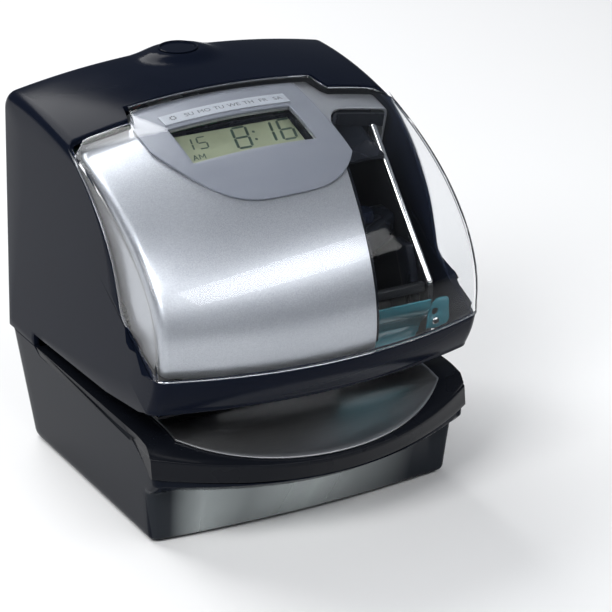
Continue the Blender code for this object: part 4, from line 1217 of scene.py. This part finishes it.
lacquer = finish("board_lacquer", board_lacquer)
nylon = finish("nylon_white", nylon_white)
repaint(lacquer, "board_green", "main_board", "display_board", "button_board")
BOARD_Y = 64  # front face of the main board
CHIPS = ((-28, 116, 17, 3.4), (-30, 101, 10, 3.2), (12, 120, 8, 3.0), (14, 108, 8, 3.0))
CANS = ((40, 116, 5.0, 11), (40, 102, 5.0, 11), (29, 98, 3.2, 8), (-8, 98, 3.2, 8))  # x, z, radius, length
epoxy = finish("epoxy_black", epoxy_black)
bodies = skin("board_chips", chips(CHIPS, BOARD_Y, 3.6), (0, 60, 110), epoxy, edge=0.25)
fitted(bodies, "base", "table_black")
legs = skin("board_chip_legs", chip_legs(CHIPS, BOARD_Y), (0, 60, 110), bright_steel)
fitted(legs, "base", "bright_steel")
sleeve = finish("capacitor_sleeve", sleeve_blue)
for number, (x, z, radius, tall) in enumerate(CANS, 1):
    can = turned(f"capacitor_{number}", (x, BOARD_Y, z), "Y", (
        (-0.2, 0), (-0.2, radius - 0.4), (-0.5, radius), (-1.4, radius), (-1.8, radius - 0.35),
        (-2.2, radius), (-tall, radius), (-tall - 0.4, radius - 0.3), (-tall - 0.4, radius - 0.9),
        (-tall, radius - 1.1), (-tall, 0),
    ), 28, sleeve)
    fitted(can, "base", "board_green")
headers = box_grids(*[((x - w, 57.5, 91.5), (x + w, 63.9, 95.5)) for x, w in ((-20, 9), (8, 6))])
fitted(skin("board_headers", headers, (0, 60, 93), nylon, edge=0.35), "base", "nylon")

# ---- Power supply --------------------------------------------------------------------------------
# A mains transformer stands in the tub: varnished laminations about a wound bobbin. Beside it lies the pack
# of three rechargeable cells in shrink film that keeps the time when the mains fails.


def laminations(wire):
    """Stacked steel sheets under varnish: thin lines across Y, a wave of 1 mm."""
    lines = wire.node("TexWave", {"bands_direction": "Y"}, {
        "Vector": wire.place(), "Scale": 320.0, "Distortion": 0.6,
    }, out="Fac")
    return {
        "Base Color": wire.blend(lines, rgb(0.10, 0.10, 0.11), rgb(0.24, 0.24, 0.25)),
        "Metallic": 0.7,
        "Roughness": 0.42,
        "Normal": wire.bump(lines, 0.00015),
    }


def winding_tape(wire):
    """Yellow polyester tape lapped round the winding: glossy, with a faint edge every 12 mm."""
    laps = wire.node("TexWave", {"bands_direction": "Z"}, {"Vector": wire.place(), "Scale": 26.0}, out="Fac")
    return {
        "Base Color": wire.blend(laps, rgb(0.62, 0.42, 0.06), rgb(0.72, 0.52, 0.10)),
        "Roughness": 0.22,
        "Normal": wire.bump(laps, 0.0001),
    }


def shrink_film(wire):
    """Red shrink film: glossy, tightened into faint folds."""
    folds = wire.noise(90.0, 3.0, (1, 4, 1))
    return {
        "Base Color": wire.blend(folds, rgb(0.32, 0.02, 0.02), rgb(0.42, 0.03, 0.025)),
        "Roughness": 0.2,
        "Normal": wire.bump(folds, 0.0003),
    }


def extruded(name, outline, axis, low, high, material, edge, sharp=35.0):
    """A closed outline carried along an axis, capped at both ends, with its rims rounded."""
    at = "XYZ".index(axis)
    rings = []
    for level in (low, high):
        rings.append(np.insert(np.array(outline, float), at, level, axis=1))
    count = len(outline)
    quads = [(i, (i + 1) % count, (i + 1) % count + count, i + count) for i in range(count)]
    mesh = bpy.data.meshes.new(name)
    caps = [list(range(count))[::-1], list(range(count, 2 * count))]
    mesh.from_pydata((np.concatenate(rings) * MM).tolist(), [], quads + caps)
    bm = bmesh.new()
    bm.from_mesh(mesh)
    bmesh.ops.recalc_face_normals(bm, faces=bm.faces)
    bm.to_mesh(mesh)
    bm.free()
    mesh.materials.append(material)
    made = placed(name, mesh)
    rounded(made, edge, 3, 40)
    return settle(made, sharp)


core = skin("transformer_core", box_grids(
    ((-22, -11, 5.2), (26, 11, 12)), ((-22, -11, 12.05), (-13, 11, 36)), ((17, -11, 12.05), (26, 11, 36)),
    ((-22, -11, 36.05), (26, 11, 43))), (2, 0, 24), finish("laminations", laminations), edge=0.3)
fitted(core, "base", "zinc_steel", "transformer")
tape = finish("winding_tape", winding_tape)
COIL = ((-12.6, -21), (16.6, -21), (16.6, 21), (-12.6, 21))
coil = extruded("transformer_coil", COIL, "Z", 14.2, 33.8, tape, 3.0)
fitted(coil, "base", "brass")
flanges = box_grids(((-12.8, -22, 12.4), (16.8, 22, 13.6)), ((-12.8, -22, 34.4), (16.8, 22, 35.6)))
fitted(skin("transformer_bobbin", flanges, (2, 0, 24), epoxy, edge=0.4), "base", "table_black")


def cell_outline():
    """Film drawn over three cells of radius 8: half its thickness at y is the circle's there, and no less
    than 6.4 between the outer cells' middles."""
    y = np.linspace(-8, 40, 73)
    nearest = y - 16 * np.clip(np.round(y / 16), 0, 2)
    half = np.maximum(np.sqrt(np.maximum(64 - nearest**2, 0)), np.where((y > 0) & (y < 32), 6.4, 0))
    top = np.stack([y, 13.2 + half], 1)
    return np.concatenate([top, np.stack([y, 13.2 - half], 1)[::-1][1:-1]])


film = finish("shrink_film", shrink_film)
pack = extruded("battery_pack", cell_outline(), "X", -60, -34, film, 1.2, 60)
fitted(pack, "base", "button_red", "backup_battery")

# ---- Setting buttons -----------------------------------------------------------------------------
# Three short red buttons on the small board behind the display, reached with the cover off. Each is a round
# cap with a dished top, moulded in red plastic.


def button_plastic(wire):
    """Red moulded plastic: satin, all one colour."""
    return {"Base Color": rgb(0.36, 0.02, 0.02), "Roughness": 0.32 + 0.08 * wire.noise(600.0)}


red_plastic = finish("button_plastic", button_plastic)
for number in (1, 2, 3):
    cap = turned(f"button_cap_{number}", (-40 + 12 * number, 42, 0), "Z", (
        (145.0, 0), (145.0, 1.9), (145.1, 2.4), (148.2, 2.4), (148.65, 2.2), (148.8, 1.8), (148.6, 1.2),
        (148.5, 0)), 32, red_plastic, 40)
    fitted(cap, f"set_button_{number}", "button_red", f"set_button_{number}")

# ---- Lead screw and rods -------------------------------------------------------------------------
# The print carriage slides on two ground rods and is driven by a steel screw with an 8 mm lead. Its wheel
# is nylon and meshes with a brass pinion on the motor.


def brass_turned(wire):
    """Cut brass: yellow metal with fine tool marks."""
    marks = wire.noise(1200.0, 2.0, (6, 1, 1))
    return {
        "Base Color": wire.blend(marks, rgb(0.62, 0.44, 0.17), rgb(0.74, 0.55, 0.24)),
        "Metallic": 1.0,
        "Roughness": 0.22 + 0.12 * marks,
    }


SCREW_Y, SCREW_Z, LEAD = -8, 88, 8


def screw_skin():
    """Radius at a distance x and an angle: a trapezoid wave of x / LEAD plus turns, fading out at both
    ends."""
    along = np.concatenate([[-66.4], np.linspace(-66.4, 59.4, 420), [59.4]])
    turn = np.linspace(0, 2 * np.pi, 29)
    phase = (along[:, None] / LEAD + turn / (2 * np.pi)) % 1
    crest = np.clip(1.45 - np.abs(phase - 0.5) / 0.5 * 2.6, 0, 1)
    inside = np.clip((along + 57.5) / 3, 0, 1) * np.clip((54.6 - along) / 3, 0, 1)
    radius = 2.1 + 0.85 * crest * inside[:, None]
    radius[[0, -1]] = 0
    x = np.repeat(along[:, None], 29, 1)
    return [np.stack([x, SCREW_Y + radius * np.cos(turn), SCREW_Z + radius * np.sin(turn)], -1)]


helix = skin("helical_screw", screw_skin(), (0, SCREW_Y, SCREW_Z), bright_steel, sharp=50)
fitted(helix, "screw", "bright_steel", "lead_screw")
repaint(bright_steel, "bright_steel", "front_guide_shaft", "rear_guide_shaft")
repaint(nylon, "nylon", "screw_gear")
repaint(finish("brass_turned", brass_turned), "brass", "motor_pinion")

# ---- Motor ---------------------------------------------------------------------------------------
# A tin-can stepping motor: two drawn and zinc-plated steel cups joined by a seam round the middle, with a
# nose bearing towards the wheel.

can = turned("motor_can", (0, 1.0, 103.59), "X", (
    (-57.2, 0), (-57.2, 4.0), (-57.1, 4.4), (-56.7, 4.6), (-56.7, 12.6), (-56.3, 13.8), (-55.6, 14.2),
    (-52.4, 14.2), (-52.2, 14.4), (-51.4, 14.4), (-51.2, 14.2), (-47.8, 14.2), (-47.0, 13.8), (-46.6, 12.8),
    (-46.6, 5.0), (-46.4, 4.6), (-46.4, 0)), 56, galvanised, 30)
fitted(can, "base", "zinc_steel", "stepper_motor")

# ---- Print carriage ------------------------------------------------------------------------------
# A black moulded carriage with ribs on its top carries the nylon nut and the print head. The head is an
# aluminium casting, and its four pins come out of the tapered nose above the platen.


def cast_aluminium(wire):
    """Die-cast aluminium: pale grey metal, softly rough."""
    grain = wire.noise(700.0, 3.0)
    return {
        "Base Color": wire.blend(grain, rgb(0.42, 0.43, 0.45), rgb(0.56, 0.57, 0.59)),
        "Metallic": 1.0,
        "Roughness": 0.38 + 0.12 * grain,
    }


repaint(finish("cast_aluminium", cast_aluminium), "zinc_steel", "print_head")
repaint(table_black, "table_black", "print_carriage", "head_nose")
repaint(nylon, "nylon", "screw_nut")
ribs = [((x - 0.6, -12, 80.2), (x + 0.6, 12, 82.2)) for x in (-48.4, -29.6)]
ribbing = skin("carriage_ribs", box_grids(*ribs), (-39, 0, 81), table_black, edge=0.4)
fitted(ribbing, "carriage", "table_black")
tips = [((-39.9 + 0.62 * i, -38.12 + 0.3 * (i % 2), 54.8), (-39.65 + 0.62 * i, -37.87 + 0.3 * (i % 2), 55.6))
        for i in range(4)]
fitted(skin("print_pins", box_grids(*tips), (-39, -38, 55), bright_steel), "carriage", "bright_steel")

# ---- Ribbon cartridge ----------------------------------------------------------------------------
# The ribbon's black moulded cartridge clips between the side plates, with an arm down each end and a welded
# lid. Its knob takes up the slack; it is grey, and is given the cover's black as painted shade.


KNOB_X, KNOB_Y = 36, -31
KNOB = ((0, 114.4, 0), (3, 114.4, 0), (3, 115.3, 0), (5.4, 115.3, 0), (6, 115.7, 1), (5.8, 118.9, 1),
        (5.3, 119.6, 0.6), (4.6, 119.8, 0), (4.2, 119.3, 0), (0, 119.2, 0))  # radius, height, flutes


def knob_skin():
    """The knob's outline at a height: its radius less a dip at each of sixteen flutes."""
    turn = np.linspace(0, 2 * np.pi, 97)
    dip = 0.5 * np.abs(np.cos(8 * turn)) ** 3
    rows = []
    for radius, level, share in KNOB:
        reach = radius - dip * share
        x, y = KNOB_X + reach * np.cos(turn), KNOB_Y + reach * np.sin(turn)
        rows.append(np.stack([x, y, np.full(97, level)], 1))
    return [np.stack(rows)]


SHELL = ((-56.6, -45), (28, -45), (55.4, -27), (55.4, -17), (-56.6, -17))
LID = ((-54.6, -43.2), (27, -43.2), (53.4, -26), (53.4, -18.8), (-54.6, -18.8))
ARM = ((-42, 105), (-32, 105), (-40, 84), (-46.0, 73), (-48.4, 73), (-48.4, 84), (-46.5, 93))
shell = extruded("cartridge_shell", SHELL, "Z", 102.2, 113.8, table_black, 1.6)
fitted(shell, "base", "table_black", "ribbon_cartridge")
for number, x in enumerate((-55.6, 51.6), 1):
    arm = extruded(f"ribbon_arm_{number}", ARM, "X", x, x + 3.6, table_black, 0.7)
    fitted(arm, "base", "table_black")
lid = extruded("cartridge_lid", LID, "Z", 113.9, 114.9, table_black, 0.4)
fitted(lid, "base", "table_black")
# Painted shade: the grey knob takes the cover's glossy black so that it stays dark inside the well.
knob = skin("slack_knob", knob_skin(), (KNOB_X, KNOB_Y, 117), case_black, sharp=30)
fitted(knob, "ribbon_knob", "bezel_grey", "ribbon_knob")

# ---- Card guides and trigger ---------------------------------------------------------------------
# A teal acrylic mask curves down in front of the head and keeps the card off the ribbon; a tab of the same
# acrylic is clipped to the right plate. Deep in the throat, the card pushes a nylon trigger against its
# switch.


def teal_acrylic(wire):
    """Teal acrylic, a little hazy."""
    return see_through(wire, {
        "Base Color": rgb(0.025, 0.15, 0.19), "Roughness": 0.10, "IOR": 1.49, "Transmission Weight": 0.35,
    }, rgb(0.3, 0.62, 0.64))


def mask_skin():
    """A smooth line from the tie bar down to the card, carried straight along X."""
    curve = through([(-58.8, 86.6), (-57.6, 82.0), (-55.5, 78.4), (-49.6, 71.9), (-47.9, 66.6), (-47.4, 61.4),
                     (-46.6, 58.4)], 40)
    x = np.linspace(22.2, 54.4, 12)[:, None]
    return [np.stack([x + 0 * curve[:, 0], curve[:, 0] + 0 * x, curve[:, 1] + 0 * x], -1)]


teal = finish("teal_acrylic", teal_acrylic)
fitted(skin("card_mask", mask_skin(), (38, 0, 60), teal, 0.8, 0.25), "base", "teal_tint", "ribbon_mask")
MASK_TAB = ((53.4, 72.5), (54.6, 80.0), (56.4, 83.6), (59.0, 85.4), (63.4, 85.4), (64.2, 84.6), (64.2, 74.4),
            (63.2, 73.0), (58.4, 71.6))
HOLE_X, HOLE_Z, HOLE_RADIUS, TAB_Y = 57.6, 79.8, 1.5, -56.4


def tab_skin():
    """Rings from the round hole out to the tab's outline, which is read at each angle about the hole."""
    x, z = np.array(MASK_TAB).T
    turn = np.linspace(0, 2 * np.pi, 37)
    angle = np.arctan2(z - HOLE_Z, x - HOLE_X)
    rim_x, rim_z = (np.interp(turn, angle, rim, period=2 * np.pi) for rim in (x, z))
    hole_x, hole_z = HOLE_X + HOLE_RADIUS * np.cos(turn), HOLE_Z + HOLE_RADIUS * np.sin(turn)
    share = np.linspace(0, 1, 4)[:, None]
    x, z = hole_x * (1 - share) + rim_x * share, hole_z * (1 - share) + rim_z * share
    return [np.stack([x, np.full_like(x, TAB_Y), z], -1)]


fitted(skin("mask_tab", tab_skin(), (57, 0, 79), teal, 0.9, 0.2), "base", "teal_tint", "mask_bracket")
rivet = turned("bracket_rivet", (57.4, 0, 76.2), "Y", (
    (-55.4, 0), (-55.4, 1.3), (-56.5, 1.3), (-57.2, 1.5), (-57.7, 1.1), (-57.9, 0)), 28, bright_steel, 50)
fitted(rivet, "base", "bright_steel", "mask_clip")
repaint(nylon, "nylon", "card_trigger")
repaint(bright_steel, "bright_steel", "trigger_pin")
repaint(red_plastic, "button_red", "trigger_switch")
leads = [((x - 0.3, 61.5, 83.9), (x + 0.3, 63.5, 87.2)) for x in (-3.6, 0, 3.6)]
fitted(skin("switch_tags", box_grids(*leads), (0, 62, 85), bright_steel), "base", "bright_steel")

# ---- Floor, lamps and camera ---------------------------------------------------------------------
# A pale floor under three soft lamps: a large one high behind the clock, one high at the front left and a
# long one high at the front right. The camera looks down from the front left.


def pale_floor(wire):
    """Pale board: one even colour, barely mottled."""
    mottle = wire.noise(3.0, 2.0)
    return {"Base Color": wire.blend(mottle, rgb(0.87, 0.87, 0.87), rgb(0.89, 0.89, 0.89)), "Roughness": 0.7}


def lamp(name, place, target, size, watts):
    """A rectangular soft lamp at a place in metres, facing a target, of one width and height in metres."""
    data = bpy.data.lights.new(name, "AREA")
    data.shape, data.size, data.size_y = "RECTANGLE", *size
    data.energy = watts
    made = placed(name, data)
    made.location = place
    made.rotation_euler = (Vector(target) - Vector(place)).to_track_quat("-Z", "Y").to_euler()


sheet = bpy.data.meshes.new("floor")
sheet.from_pydata([(-3, -3, 0), (3, -3, 0), (3, 3, 0), (-3, 3, 0)], [], [(0, 1, 2, 3)])
sheet.materials.append(finish("pale_floor", pale_floor))
placed("floor", sheet)

lamp("back_lamp", (-0.25, 1.05, 1.15), (0, 0, 0.05), (1.2, 0.7), 20.0)
lamp("key_lamp", (-1.0, -0.6, 1.2), (0, 0, 0.08), (0.7, 0.7), 16.0)
lamp("fill_lamp", (0.34, -0.86, 0.90), (0, 0, 0.08), (1.5, 0.34), 6.2)

room = bpy.data.worlds.new("studio")
room.use_nodes = True
air = room.node_tree.nodes["Background"].inputs
air["Color"].default_value, air["Strength"].default_value = rgb(0.8, 0.88, 1.0), 0.16
scene = bpy.context.scene
scene.world = room
scene.view_settings.view_transform = "Standard"

EYE, GAZE = (-0.4881, -0.9507, 0.5351), (0.4379, 0.8065, -0.3973)  # metres: its place and its line of sight
lens = bpy.data.cameras.new("camera")
lens.lens, lens.sensor_width = 163.36, 36.0
camera = placed("camera", lens)
camera.location = EYE
camera.rotation_euler = Vector(GAZE).to_track_quat("-Z", "Y").to_euler()
scene.camera = camera
